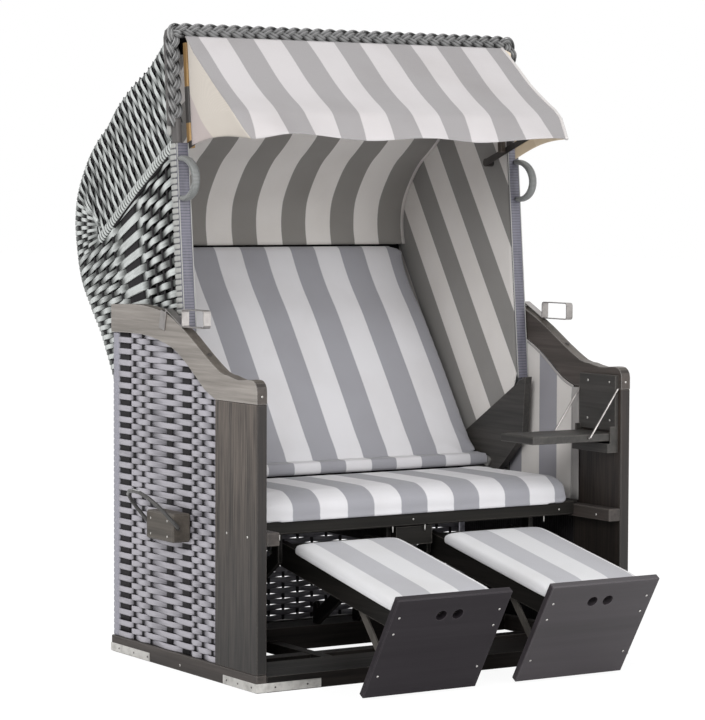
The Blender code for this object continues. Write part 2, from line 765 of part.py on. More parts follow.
def lining(hinge, outer):
    """Cloth inside the hood: over the head, and down both sides."""
    head_outer = offset(outer, HEAD_LINING_INSET)
    top = HEIGHT - BRAID_WIDTH
    low = from_hinge(0, CUSHION_TOP_SHARE)[1] + GAP
    head = [p for p in between(head_outer, low, top) if p[0] > front_edge(top) + BEHIND_FRAME]
    head_inner = offset(head, CLOTH)
    cloth = as_mesh(flat(head + head_inner[::-1], (-LINING_OUTER, LINING_OUTER)))
    dress(cloth, "hood_lining", "lining cloth", hinge)
    rim = [p for p in offset(outer, HOOD_WALL + 2 * GAP) if p[1] > from_hinge(*LINING_LOW_SHARES[0])[1]]
    edge_top = rim[0][1] - OVERRUN
    edge = BEHIND_FRAME + GAP
    side_outline = [(front_edge(HOOD_FRONT_BOTTOM) + edge, HOOD_FRONT_BOTTOM),
                    (front_edge(edge_top) + edge, edge_top)]
    side_outline += rim[1:] + scaled(LINING_LOW_SHARES)
    sides = [flat(side_outline, across(side, LINING_INNER, LINING_OUTER))
             for side in SIDES.values()]
    combine(cloth, sides, "UNION")


def backrest(hinge, outer):
    """A board on the lower back of the shell, and the long cushion before it."""
    half = CHEEK_INNER - GAP
    bottom = outer[-1]
    up = outer[-4]
    run, rise = up[0] - bottom[0], up[1] - bottom[1]
    length = math.hypot(run, rise)
    lean = math.atan2(run, rise)
    made = box((-half, half), (-BACKREST_BOARD / 2, BACKREST_BOARD / 2),
               (-BACKREST_BOARD_LENGTH / 2, BACKREST_BOARD_LENGTH / 2))
    made.rotation_euler.x = -lean
    inset = HOOD_WALL + GAP + BACKREST_BOARD / 2
    along = BACKREST_BOARD_LENGTH / 2 + HOOD_WALL
    made.location = (0, bottom[0] + run / length * along - rise / length * inset,
                     bottom[1] + rise / length * along + run / length * inset)
    dress(made, "backrest_board", "dark board", hinge)

    top = from_hinge(0, CUSHION_TOP_SHARE)[1]
    hem = from_hinge(*HEM_SHARE)
    rear = between(offset(outer, BACK_CUSHION_INSET), hem[1] - HEM_RADIUS * 2, top)
    front = smooth(scaled(CUSHION_FRONT_SHARES), 2)
    roll = arc(hem, HEM_RADIUS, 70, 280, 6)
    outline = front + roll + rear[::-1]
    pad = as_mesh(flat(outline, (-half, half)))
    dress(pad, "back_cushion", "cushion cloth", hinge)
    ease(pad, BACK_CUSHION_EDGE, 2, math.radians(60))


def hood_hinges():
    """A steel plate and pin on each side of the basket, through the cheek board."""
    for word, side in SIDES.items():
        face = SIDE_INNER - GAP
        plate = HINGE_PLATE_SIZE / 2
        made = box(across(side, face - HINGE_PLATE, face), (HINGE_Y - plate, HINGE_Y + plate),
                   (HINGE_Z - plate, HINGE_Z + plate))
        dress(made, "hood_hinge_" + word, "zinc plated steel", ROOT)
        pin_end = CHEEK_INNER - GAP - HINGE_HEAD
        pin = cylinder((side * (face - HINGE_PLATE / 2), HINGE_Y, HINGE_Z),
                       (side * (pin_end + HINGE_HEAD / 2), HINGE_Y, HINGE_Z), HINGE_PIN_RADIUS)
        head = cylinder((side * (pin_end + HINGE_HEAD), HINGE_Y, HINGE_Z),
                        (side * pin_end, HINGE_Y, HINGE_Z), HINGE_HEAD_RADIUS)
        combine(made, [pin, head], "UNION")


def pull_loops(hinge):
    """Round handles on the hood's front edge."""
    x = HOOD_HALF - STILE_WIDTH / 2
    for word, side in SIDES.items():
        middle = HEIGHT - LOOP_DROP - LOOP_HEIGHT / 2
        base = front_edge(middle) - GAP - LOOP_RADIUS * HOOD_FRONT_SLOPE
        straight = 2 * LOOP_RADIUS
        plan = [(0, 1)] + [(a * (LOOP_REACH - straight) - straight, b)
                           for a, b in arc((0, 0), 1, 90, 270, 12)] + [(0, -1)]
        points = []
        for a, b in plan:
            z = middle + b * LOOP_HEIGHT / 2
            points.append((side * x, base + a + front_edge(z) - front_edge(middle), z))
        dress(rod(points, LOOP_RADIUS), "pull_loop_" + word, "wrapped edge", hinge)


# Awning
def awning(hinge):
    bow_hinge = empty("awning_hinge", (0, BOW_HINGE_Y, BOW_HINGE_Z), hinge)
    run, rise = BOW_Y - BOW_HINGE_Y, BOW_Z - BOW_HINGE_Z
    length = math.hypot(run, rise)
    tube = cylinder((-BOW_X - BOW_BAR / 2, BOW_Y, BOW_Z), (BOW_X + BOW_BAR / 2, BOW_Y, BOW_Z),
                    BOW_TUBE_RADIUS, 16)
    dress(tube, "awning_bow", "black steel", bow_hinge)
    others = []
    ny, nz = -rise / length / 2, run / length / 2
    wide, slim = BOW_BAR_WIDTH, BOW_TIP_WIDTH
    arm = [(BOW_HINGE_Y + ny * wide, BOW_HINGE_Z + nz * wide), (BOW_Y + ny * slim, BOW_Z + nz * slim),
           (BOW_Y - ny * slim, BOW_Z - nz * slim), (BOW_HINGE_Y - ny * wide, BOW_HINGE_Z - nz * wide)]
    for side in SIDES.values():
        others.append(flat(arm, across(side, BOW_X, BOW_X + BOW_BAR)))
        others.append(cylinder((side * BOW_X, BOW_HINGE_Y, BOW_HINGE_Z),
                               (side * (LINING_INNER - GAP), BOW_HINGE_Y, BOW_HINGE_Z),
                               BOW_BOSS_RADIUS, 16))
    combine(tube, others, "UNION")

    # The cloth runs from the braid over the bow's tube and hangs down in front
    over = BOW_TUBE_RADIUS + GAP + AWNING_THICKNESS / 2
    top = (front_edge(HEIGHT - BRAID_WIDTH / 2) - GAP - AWNING_THICKNESS, HEIGHT - BRAID_WIDTH / 2)
    slope = math.atan2(top[1] - BOW_Z, top[0] - BOW_Y)
    crest = [(BOW_Y + over * math.cos(a), BOW_Z + over * math.sin(a))
             for a in (slope + math.pi / 2, slope / 2 + math.pi * 3 / 4, math.pi)]
    foot = (crest[-1][0], crest[-1][1] - AWNING_DROP)
    path = [top, *crest, ((crest[-1][0] + foot[0]) / 2, (crest[-1][1] + foot[1]) / 2), foot]
    hang = [0, 0, 0, 0, 0.5, 1]
    columns = AWNING_WAVES * 8
    body = bmesh.new()
    rows = []
    for (y, z), share in zip(path, hang):
        row = []
        for i in range(columns + 1):
            u = i / columns
            wave = AWNING_WAVE * share * math.sin(2 * math.pi * AWNING_WAVES * u) ** 2
            row.append(body.verts.new(((u - 0.5) * AWNING_WIDTH, y - wave, z - wave)))
        rows.append(row)
    for upper, lower in zip(rows, rows[1:]):
        for i in range(columns):
            body.faces.new((upper[i], lower[i], lower[i + 1], upper[i + 1]))
    mesh = bpy.data.meshes.new("awning")
    bmesh.ops.recalc_face_normals(body, faces=body.faces)
    body.to_mesh(mesh)
    body.free()
    cloth = bpy.data.objects.new("awning", mesh)
    CHAIR.objects.link(cloth)
    thick = cloth.modifiers.new("cloth", "SOLIDIFY")
    thick.thickness = AWNING_THICKNESS
    thick.offset = 0
    dress(cloth, "awning_cloth", "awning cloth", hinge)

    # A three-cornered gusset closes each side
    gusset = [(top[0], top[1] - AWNING_THICKNESS), (BOW_Y + over, BOW_Z + over),
              (crest[-1][0], BOW_Z - AWNING_THICKNESS), (crest[-1][0], BOW_Z - GUSSET_FRONT_DROP),
              (front_edge(HEIGHT - GUSSET_REAR_DROP) - 2 * GAP, HEIGHT - GUSSET_REAR_DROP)]
    edge = AWNING_WIDTH / 2 - GAP
    gussets = [flat(gusset, across(side, edge - AWNING_THICKNESS, edge))
               for side in SIDES.values()]
    combine(cloth, gussets, "UNION")


# Latches
def latches():
    arm_z = height_on(ARM_TOP, LATCH_Y)
    ahead = height_on(ARM_TOP, LATCH_Y + LATCH_LENGTH / 2)
    behind = height_on(ARM_TOP, LATCH_Y - LATCH_LENGTH / 2)
    slope = math.atan2(ahead - behind, LATCH_LENGTH)
    barrel_lift = LATCH_LIFT + LATCH_SHEET + LATCH_BARREL_RADIUS - GAP
    barrel_y = LATCH_Y + LATCH_BARREL_SHIFT * math.cos(slope) - barrel_lift * math.sin(slope)
    barrel_z = arm_z + LATCH_BARREL_SHIFT * math.sin(slope) + barrel_lift * math.cos(slope)
    for word, side in SIDES.items():
        # A bent strap over the arm rail, with the lever's barrel on top
        leg = LATCH_SHEET / 2 + GAP
        inner = SIDE_INNER - leg
        outer = HALF_WIDTH + leg
        top = LATCH_LIFT + LATCH_SHEET / 2
        path = [(inner, -LATCH_LEG), (inner, top), (outer, top), (outer, -LATCH_LEG)]
        saddle = as_mesh(flat([(side * x, z) for x, z in saddle_outline(path)],
                              (-LATCH_LENGTH / 2, LATCH_LENGTH / 2), "Y"))
        saddle.rotation_euler.x = math.pi / 2 + slope
        saddle.location = (0, LATCH_Y, arm_z)
        dress(saddle, "latch_saddle_" + word, "zinc plated steel", ROOT)
        middle = side * (HALF_WIDTH - LEVER_OFFSET)
        barrel = cylinder((middle - LEVER_WIDTH / 2, barrel_y, barrel_z),
                          (middle + LEVER_WIDTH / 2, barrel_y, barrel_z), LATCH_BARREL_RADIUS, 12)
        combine(saddle, [barrel], "UNION")
        lever_hinge = empty("latch_hinge_" + word, (middle, barrel_y, barrel_z), ROOT)
        lever = flat(lever_outline(barrel_y, barrel_z, slope),
                     (middle - LEVER_WIDTH / 2, middle + LEVER_WIDTH / 2))
        dress(lever, "latch_lever_" + word, "zinc plated steel", lever_hinge)
    return barrel_y, barrel_z


def saddle_outline(path):
    """A strap of sheet with square bends, outline from its middle line."""
    half = LATCH_SHEET / 2
    (a, low), (_, top), (b, _), _ = path
    return [(a - half, low), (a - half, top + half), (b + half, top + half), (b + half, low),
            (b - half, low), (b - half, top - half), (a + half, top - half), (a + half, low)]


def lever_outline(y, z, slope):
    """One bent strip: a short tail, a hump over the barrel, an arm and a ring to pull."""
    hump = LATCH_BARREL_RADIUS + GAP + LEVER_STRIP / 2
    front = y - LEVER_RUN
    nose = front - RING_LENGTH
    path = [(y + LEVER_TAIL * math.cos(slope) - hump * math.sin(slope),
             z + LEVER_TAIL * math.sin(slope) + hump * math.cos(slope))]
    path += arc((y, z), hump, 90 + math.degrees(slope), 140, 2)
    bend_y, bend_z = path[-1]

    # The straight run from the hump to the ring, and the ring, pass just above the arm rail
    lift = LEVER_LIFT + LEVER_STRIP / 2
    floor = max(height_on(ARM_TOP, nose), height_on(ARM_TOP, front)) + lift
    for arm_y, arm_z in ARM_TOP:
        run = (arm_y - front) / (bend_y - front)
        if 0 < run < LEVER_FREE_SHARE:
            floor = max(floor, (arm_z + lift - bend_z * run) / (1 - run))
    roof = floor + RING_HEIGHT
    c = RING_CORNER
    path += [(front + 2 * c, floor + c), (front, floor)]
    path += arc((nose + c, floor + c), c, 270, 180, 2)
    path += arc((nose + c, roof - c), c, 180, 90, 2)
    path += arc((front - c, roof - c), c, 90, 0, 2)
    path += [(front, floor + LEVER_STRIP)]
    return strip(path, LEVER_STRIP)


# Carry handles
def carry_handles():
    for word, side in SIDES.items():
        face = HALF_WIDTH + GAP
        block_outer = face + CARRY_BLOCK_THICKNESS
        y = (CARRY_Y - CARRY_BLOCK_DEPTH / 2, CARRY_Y + CARRY_BLOCK_DEPTH / 2)
        block = box(across(side, HALF_WIDTH - WICKER_SET_BACK + GAP, block_outer), y,
                    (CARRY_Z - CARRY_BLOCK_HEIGHT / 2, CARRY_Z + CARRY_BLOCK_HEIGHT / 2))
        ease(dress(block, "carry_block_" + word, "stained wood", ROOT), 2 * EASED_EDGE)
        x = side * (block_outer - CARRY_PIN_INSET)
        deep = CARRY_PIN_LENGTH + GAP
        bores = [cylinder((x, end - deep, CARRY_Z), (x, end + deep, CARRY_Z),
                          CARRY_ROD_RADIUS + BORE_CLEARANCE, 16) for end in y]
        combine(block, bores, "DIFFERENCE")

        # The bail's ends turn in and sit in the block's bores
        hinge = empty("carry_hinge_" + word, (x, CARRY_Y, CARRY_Z), ROOT)
        half = CARRY_BLOCK_DEPTH / 2
        spread = half + CARRY_ROD_RADIUS + CARRY_STAND_OFF
        plan = [(half - CARRY_PIN_LENGTH, 0.0), (spread - CARRY_ROD_RADIUS, 0.0),
                (spread - CARRY_ROD_RADIUS / 4, CARRY_ROD_RADIUS)]
        plan += [(2 * a * spread, b * CARRY_REACH) for a, b in BAIL_SHARES]
        plan = plan + [(-a, b) for a, b in reversed(plan[:-1])]
        points = [(x + side * b * math.sin(CARRY_LEAN), CARRY_Y + a,
                   CARRY_Z + b * math.cos(CARRY_LEAN)) for a, b in plan]
        dress(rod(points, CARRY_ROD_RADIUS), "carry_bail_" + word, "black cord", hinge)


# Tray on the right-hand side
def tray():
    face = SIDE_INNER - GAP
    plate_inner = face - TRAY_PLATE
    outer_end = face - TRAY_END_GAP
    y = (TRAY_FRONT, TRAY_FRONT + TRAY_DEPTH)
    bottom = TRAY_TOP - TRAY_THICKNESS
    pivot_x = outer_end - TRAY_PIVOT_INSET
    pivot_z = TRAY_TOP - TRAY_PIVOT_DROP
    edges = (y[0] - GAP - TRAY_EAR, y[1] + GAP + TRAY_EAR)

    # Back plate, two ears with pins, and the block under the tray's end
    bracket = box((plate_inner, face), edges, (TRAY_TOP + TRAY_PLATE_GAP, TRAY_PLATE_TOP))
    dress(bracket, "tray_bracket", "stained wood", ROOT)
    block_top = bottom - TRAY_BLOCK_DROP
    block_low = block_top - TRAY_BLOCK_HEIGHT
    others = [box((face - TRAY_BLOCK_LENGTH, face), edges, (block_low, block_top))]
    for edge, inside in zip(edges, y):
        side = 1 if inside > edge else -1
        span = tuple(sorted((edge, edge + side * TRAY_EAR)))
        others.append(box((face - TRAY_EAR_DEPTH, face), span,
                          (block_low, TRAY_TOP + TRAY_PLATE_GAP + TRAY_PLATE)))
        others.append(cylinder((pivot_x, edge + side * TRAY_EAR / 2, pivot_z),
                               (pivot_x, inside + side * TRAY_PIN_LENGTH, pivot_z),
                               TRAY_PIN_RADIUS, 16))
    combine(bracket, others, "UNION")

    hinge = empty("tray_hinge", (pivot_x, sum(y) / 2, pivot_z), ROOT)
    made = box((outer_end - TRAY_LENGTH, outer_end), y, (bottom, TRAY_TOP))
    ease(dress(made, "tray_board", "dark board", hinge))
    stay_z = TRAY_TOP - TRAY_THICKNESS / 2
    cuts = [cylinder((STAY_LOW_X, y[0] - OVERRUN, stay_z), (STAY_LOW_X, y[1] + OVERRUN, stay_z),
                     STAY_RADIUS + BORE_CLEARANCE, 12)]
    for inside, side in zip(y, (1, -1)):
        cuts.append(cylinder((pivot_x, inside - side * OVERRUN, pivot_z),
                             (pivot_x, inside + side * (TRAY_PIN_LENGTH + GAP), pivot_z),
                             TRAY_PIN_RADIUS + BORE_CLEARANCE, 16))
    combine(made, cuts, "DIFFERENCE")

    # One bent wire: through the tray, and up on both sides to the back plate
    stay_hinge = empty("tray_stay_hinge", (STAY_LOW_X, sum(y) / 2, stay_z), hinge)
    front = edges[0] - GAP - STAY_RADIUS
    back = edges[1] + GAP + STAY_RADIUS
    top_x = face - STAY_TOP_INSET
    wire = [(top_x, front, STAY_TOP_Z), (STAY_LOW_X + STAY_RADIUS, front, stay_z + STAY_RADIUS),
            (STAY_LOW_X, front + STAY_RADIUS, stay_z), (STAY_LOW_X, back - STAY_RADIUS, stay_z),
            (STAY_LOW_X + STAY_RADIUS, back, stay_z + STAY_RADIUS), (top_x, back, STAY_TOP_Z)]
    dress(rod(wire, STAY_RADIUS), "tray_stays", "zinc plated steel", stay_hinge)
    return pivot_x, pivot_z, stay_z


# Footrests
def footrest_guides(word, centre):
    """Sloping battens that the carriage bar rides on, outside the footrest's edges."""
    length = math.hypot(CARRIAGE_RUN, CARRIAGE_FALL)
    uy, uz = CARRIAGE_RUN / length, -CARRIAGE_FALL / length
    ny, nz = uz, -uy

    def on(along, deep):
        return (CARRIAGE_Y + uy * along + ny * deep, CARRIAGE_Z + uz * along + nz * deep)

    def on_line_at_y(y, deep):
        return on((y - CARRIAGE_Y - ny * deep) / uy, deep)

    top = CARRIAGE_RADIUS + GAP
    low = top + GUIDE_DEPTH
    ear_rear = FRONT_CROSS_RAIL_Y + CROSS_RAIL_DEPTH
    ear_top = LEDGER_BOTTOM
    stop = length + CARRIAGE_RADIUS + GAP
    foot_z = GUIDE_RAIL_HEIGHT + GAP
    heel = on(stop + GUIDE_STOP_LENGTH, top - GUIDE_STOP)
    toe_along = (CARRIAGE_Z + nz * low - foot_z) / -uz
    outline = [(FRONT_CROSS_RAIL_Y, ear_top), (ear_rear, ear_top), on_line_at_y(ear_rear, top),
               on(stop, top), on(stop, top - GUIDE_STOP), heel, (heel[0], foot_z),
               (on(toe_along, low)[0], foot_z), on_line_at_y(FRONT_CROSS_RAIL_Y, low)]
    inner = FOOT_CUSHION_WIDTH / 2 + GUIDE_CLEARANCE
    for place, side in SIDES.items():
        span = sorted((centre + side * inner, centre + side * (inner + GUIDE_THICKNESS)))
        near = "inner" if side * centre < 0 else "outer"
        ease(dress(as_mesh(flat(outline, span)), "footrest_guide_%s_%s" % (word, near),
                   "dark board", ROOT), EASED_EDGE / 2)


def footrest(word, side):
    centre = side * FOOT_CENTRE
    footrest_guides(word, centre)
    slide = empty("footrest_slide_" + word, (centre, CARRIAGE_Y, CARRIAGE_Z), ROOT)
    reach = FOOT_CUSHION_WIDTH / 2 + GUIDE_CLEARANCE + GUIDE_THICKNESS - GAP
    bar = cylinder((centre - reach, CARRIAGE_Y, CARRIAGE_Z), (centre + reach, CARRIAGE_Y, CARRIAGE_Z),
                   CARRIAGE_RADIUS, 16)
    dress(bar, "footrest_bar_" + word, "zinc plated steel", slide)
    tilt = empty("footrest_hinge_" + word, (centre, CARRIAGE_Y, CARRIAGE_Z), slide)

    # Front panel, leaning, with two finger holes
    down = (math.sin(PANEL_TILT), -math.cos(PANEL_TILT))
    inward = (math.cos(PANEL_TILT), math.sin(PANEL_TILT))

    def on_panel(drop, deep):
        return (PANEL_TOP_Y + down[0] * drop + inward[0] * deep,
                PANEL_TOP_Z + down[1] * drop + inward[1] * deep)

    middle = on_panel(PANEL_HEIGHT / 2, PANEL_THICKNESS / 2)
    panel = box((-PANEL_WIDTH / 2, PANEL_WIDTH / 2), (-PANEL_THICKNESS / 2, PANEL_THICKNESS / 2),
                (-PANEL_HEIGHT / 2, PANEL_HEIGHT / 2))
    panel.location = (centre, *middle)
    panel.rotation_euler.x = PANEL_TILT
    ease(dress(panel, "footrest_panel_" + word, "stained wood", tilt))
    holes = []
    for place in SIDES.values():
        x = centre + place * FINGER_HOLE_SPACING / 2
        holes.append(cylinder((x, *on_panel(FINGER_HOLE_DROP, -OVERRUN)),
                              (x, *on_panel(FINGER_HOLE_DROP, PANEL_THICKNESS + OVERRUN)),
                              FINGER_HOLE_RADIUS))
    combine(panel, holes, "DIFFERENCE")

    # Two side boards with a slat between them under the cushion
    run, rise = math.cos(BOARD_SLOPE), math.sin(BOARD_SLOPE)

    def on_board(along, deep):
        """A point along the boards from the pivot towards the front, below their top edge."""
        y = CARRIAGE_Y - run * along - rise * (BOARD_ABOVE_PIVOT - deep)
        z = CARRIAGE_Z - rise * along + run * (BOARD_ABOVE_PIVOT - deep)
        return y, z

    def to_panel(deep):
        """Where a line along the boards meets the panel's back."""
        y, z = on_board(0, deep)
        back = on_panel(0, PANEL_THICKNESS + GAP)
        gap = (y - back[0]) * inward[0] + (z - back[1]) * inward[1]
        return gap / (run * inward[0] + rise * inward[1])

    rear = -BOARD_REAR
    round_end = [on_board(rear + BOARD_REAR * (1 - math.sin(math.radians(a))),
                          BOARD_DEPTH / 2 - BOARD_DEPTH / 2 * math.cos(math.radians(a)))
                 for a in (0, 30, 60, 90, 120, 150, 180)]
    outline = [on_board(to_panel(0), 0), *round_end, on_board(to_panel(BOARD_DEPTH), BOARD_DEPTH)]
    outer = PANEL_WIDTH / 2 - BOARD_INSET
    inner = outer - BOARD_THICKNESS
    frame = as_mesh(flat(outline, (centre - outer, centre - inner)))
    dress(frame, "footrest_frame_" + word, "dark board", tilt)
    other_side = flat(outline, (centre + inner, centre + outer))
    slat_low = GAP + SLAT_THICKNESS
    slat = [on_board(to_panel(GAP) - GAP, GAP), on_board(BOARD_REAR, GAP),
            on_board(BOARD_REAR, slat_low), on_board(to_panel(SLAT_THICKNESS) - GAP, slat_low)]
    slat_reach = inner + BOARD_THICKNESS / 2
    combine(frame, [other_side, flat(slat, (centre - slat_reach, centre + slat_reach))], "UNION")
    bore = cylinder((centre - outer - OVERRUN, CARRIAGE_Y, CARRIAGE_Z),
                    (centre + outer + OVERRUN, CARRIAGE_Y, CARRIAGE_Z),
                    CARRIAGE_RADIUS + BORE_CLEARANCE, 16)
    combine(frame, [bore], "DIFFERENCE")

    # Flat braces from the side boards down to the panel
    for near, place in SIDES.items():
        face = inner - GAP
        span = sorted((centre + place * face, centre + place * (face - BRACE_THICKNESS)))
        top = on_board(BRACE_TOP_RUN, BOARD_DEPTH - BRACE_WIDTH)
        foot = on_panel(BRACE_PANEL_DROP, PANEL_THICKNESS + GAP)
        foot_low = on_panel(BRACE_PANEL_DROP + BRACE_WIDTH, PANEL_THICKNESS + GAP)
        dy, dz = top[0] - foot[0], top[1] - foot[1]
        length = math.hypot(dy, dz)
        wy, wz = dz / length * BRACE_WIDTH, -dy / length * BRACE_WIDTH
        outline = [foot, top, (top[0] + wy, top[1] + wz), foot_low]
        dress(flat(outline, span), "footrest_brace_%s_%s" % (word, near), "dark board", tilt)

    # Padded top
    front = to_panel(0) - FOOT_CUSHION_FRONT_GAP
    back = front - FOOT_CUSHION_LENGTH
    y, z = on_board((front + back) / 2, -FOOT_CUSHION_THICKNESS / 2 - GAP)
    pad = cushion_block((-FOOT_CUSHION_WIDTH / 2, FOOT_CUSHION_WIDTH / 2),
                        (-FOOT_CUSHION_LENGTH / 2, FOOT_CUSHION_LENGTH / 2),
                        (-FOOT_CUSHION_THICKNESS / 2, FOOT_CUSHION_THICKNESS / 2), FOOT_CUSHION_CROWN)
    pad.location = (centre, y, z)
    pad.rotation_euler.x = BOARD_SLOPE
    dress(pad, "footrest_cushion_" + word, "cushion cloth", tilt)


lower_basket()
floor_frame()
seat_bearers()
seat()
hood_hinge = empty("hood_hinge", (0, HINGE_Y, HINGE_Z), ROOT)
hood(hood_hinge)
hood_hinges()
pull_loops(hood_hinge)
awning(hood_hinge)
lever_y, lever_z = latches()
carry_handles()
tray_x, tray_z, stay_z = tray()
for name, direction in SIDES.items():
    footrest(name, direction)

for made in CHAIR.objects:
    if made.type == "MESH":
        made.data.shade_smooth()
        made.data.set_sharp_from_angle(angle=math.radians(35))

print("lever hinge at y %.4f z %.4f" % (lever_y, lever_z))
print("tray hinge at x %.4f z %.4f, stays at z %.4f" % (tray_x, tray_z, stay_z))
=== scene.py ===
"""Hooded beach chair: a two-seat basket chair, woven over a dark stained frame, with striped cushions.

Metres, +Z up, +X to the right for someone in front of the chair, +Y to its back.
"""
import math

import bpy
import numpy as np
from mathutils import Matrix


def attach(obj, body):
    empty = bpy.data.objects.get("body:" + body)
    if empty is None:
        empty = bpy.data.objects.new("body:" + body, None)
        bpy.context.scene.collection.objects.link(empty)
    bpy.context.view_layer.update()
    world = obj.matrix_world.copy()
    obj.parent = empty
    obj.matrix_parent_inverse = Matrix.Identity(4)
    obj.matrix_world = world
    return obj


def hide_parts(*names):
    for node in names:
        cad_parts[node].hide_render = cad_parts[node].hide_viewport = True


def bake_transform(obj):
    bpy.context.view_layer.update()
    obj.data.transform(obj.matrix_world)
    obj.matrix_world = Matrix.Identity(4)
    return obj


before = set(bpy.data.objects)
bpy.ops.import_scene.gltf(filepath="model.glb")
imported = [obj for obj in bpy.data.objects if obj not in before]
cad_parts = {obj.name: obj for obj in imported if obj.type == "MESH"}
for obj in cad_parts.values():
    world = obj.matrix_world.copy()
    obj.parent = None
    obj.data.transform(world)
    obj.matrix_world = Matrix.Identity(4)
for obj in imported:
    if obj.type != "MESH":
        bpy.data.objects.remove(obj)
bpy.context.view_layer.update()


# Camera
# A long lens in front of the chair's left, a little above half of its height and looking slightly down.
def placed(name, data):
    """A new object in the scene."""
    made = bpy.data.objects.new(name, data)
    bpy.context.scene.collection.objects.link(made)
    return made


def turned(x, y, z, origin):
    """The matrix with these three axes and this origin."""
    pose = np.eye(4)
    pose[:3] = np.stack([x, y, z, origin], 1)
    return Matrix(pose)


EYE = np.array([-3.8468, -5.7349, 1.1673])
YAW, PITCH, ROLL = 0.5627, -0.058, 0.0036
FOCAL_MM = 140.07
level_right = np.array([math.cos(YAW), -math.sin(YAW), 0.0])
level_ahead = np.array([math.sin(YAW), math.cos(YAW), 0.0])
ahead = level_ahead * math.cos(PITCH) + np.array([0, 0, math.sin(PITCH)])
above = np.array([0, 0, math.cos(PITCH)]) - level_ahead * math.sin(PITCH)
across = level_right * math.cos(ROLL) + above * math.sin(ROLL)
upward = above * math.cos(ROLL) - level_right * math.sin(ROLL)
lens = bpy.data.cameras.new("camera")
lens.sensor_fit = "VERTICAL"
lens.sensor_height = 36
lens.lens = FOCAL_MM
camera = placed("camera", lens)
camera.matrix_world = turned(across, upward, -ahead, EYE)
bpy.context.scene.camera = camera
bpy.context.scene.view_settings.view_transform = "Standard"


# Floor and light
# A plain pale floor under a white room, lit by a wide soft box on the left and weaker ones around it.
def srgb(hexa):
    """A hex colour as linear RGB: each channel c is ((c + 0.055) / 1.055) ^ 2.4, or c / 12.92 when small."""
    c = np.array([int(hexa[i:i + 2], 16) / 255 for i in (1, 3, 5)])
    return [*np.where(c <= 0.04045, c / 12.92, ((c + 0.055) / 1.055) ** 2.4).tolist(), 1.0]


def add(tree, kind, inputs=None, **options):
    """A shader node with its options; each input is a value or another node's output."""
    node = tree.nodes.new("ShaderNode" + kind)
    for name, value in options.items():
        setattr(node, name, value)
    for name, value in (inputs or {}).items():
        if isinstance(value, bpy.types.NodeSocket):
            tree.links.new(value, node.inputs[name])
        else:
            node.inputs[name].default_value = value
    return node


room = bpy.data.worlds.new("white room")
bpy.context.scene.world = room
room.use_nodes = True
air = room.node_tree
air.nodes.clear()
rays = add(air, "LightPath").outputs
seen = add(air, "Math", {0: rays["Is Camera Ray"], 1: rays["Is Glossy Ray"]}, operation="MAXIMUM")
seen = add(air, "Math", {0: seen.outputs[0], 1: rays["Is Transmission Ray"]}, operation="MAXIMUM")
glow = add(air, "MapRange", {"Value": seen.outputs[0], "To Min": 0.62, "To Max": 1.0})
sky = add(air, "Background", {"Color": (1, 1, 1, 1), "Strength": glow.outputs[0]})
add(air, "OutputWorld", {"Surface": sky.outputs[0]})


def unit(vectors):
    """The same directions at length 1."""
    return vectors / np.linalg.norm(vectors, axis=-1, keepdims=True)


def soft_box(name, place, target, power):
    """A square lamp, 3 m wide, at place, that faces target."""
    light = bpy.data.lights.new(name, "AREA")
    light.size = 3.0
    light.energy = power
    back = unit(np.array(place, float) - np.array(target, float))
    side = unit(np.cross([0, 0, 1.0], back))
    placed(name, light).matrix_world = turned(side, np.cross(back, side), back, place)


soft_box("left soft box", (-4.2, -3.6, 3.4), (0, 0.2, 0.7), 190)
soft_box("front soft box", (1.8, -5.5, 2.6), (0, 0.2, 0.7), 120)
soft_box("rear soft box", (1.5, 4.5, 3.6), (0, 0.3, 0.8), 90)


def surface(name, roughness, metallic=0.0):
    """A material, its node tree and its shader."""
    made = bpy.data.materials.new(name)
    made.use_nodes = True
    shader = made.node_tree.nodes["Principled BSDF"]
    shader.inputs["Roughness"].default_value = roughness
    shader.inputs["Metallic"].default_value = metallic
    return made, made.node_tree, shader


def feed(tree, shader, colour, gloss, relief):
    """Links a shader's colour, roughness and normal."""
    for name, source in (("Base Color", colour), ("Roughness", gloss), ("Normal", relief)):
        tree.links.new(source, shader.inputs[name])


def modelled(name, points, faces):
    """A new object with these corners and faces."""
    mesh = bpy.data.meshes.new(name)
    mesh.from_pydata(np.reshape(points, (-1, 3)).tolist(), [], faces)
    return placed(name, mesh)


# Painted studio floor: matt and even, with a faint mottle from the roller. The camera sees it nearly white
floor_paint, tree, shader = surface("painted studio floor", 0.9)
where = add(tree, "TexCoord").outputs["Object"]
mottle = add(tree, "TexNoise", {"Vector": where, "Scale": 3.0, "Detail": 3.0})
tint = add(tree, "ValToRGB", {"Fac": mottle.outputs["Fac"]})
tint.color_ramp.elements[0].color = srgb("#F2F2F2")
tint.color_ramp.elements[1].color = srgb("#F8F8F8")
tree.links.new(tint.outputs["Color"], shader.inputs["Base Color"])
seen = add(tree, "LightPath").outputs["Is Camera Ray"]
seen = add(tree, "Math", {0: seen, 1: 0.85}, operation="MULTIPLY")
white = add(tree, "Emission", {"Color": (1, 1, 1, 1), "Strength": 1.09})
shown = add(tree, "MixShader", {0: seen.outputs[0], 1: shader.outputs[0], 2: white.outputs[0]})
tree.links.new(shown.outputs[0], tree.nodes["Material Output"].inputs["Surface"])
corners = [(-30, -14, -0.001), (30, -14, -0.001), (30, 46, -0.001), (-30, 46, -0.001)]
floor = modelled("floor", corners, [(0, 1, 2, 3)])
floor.data.materials.append(floor_paint)


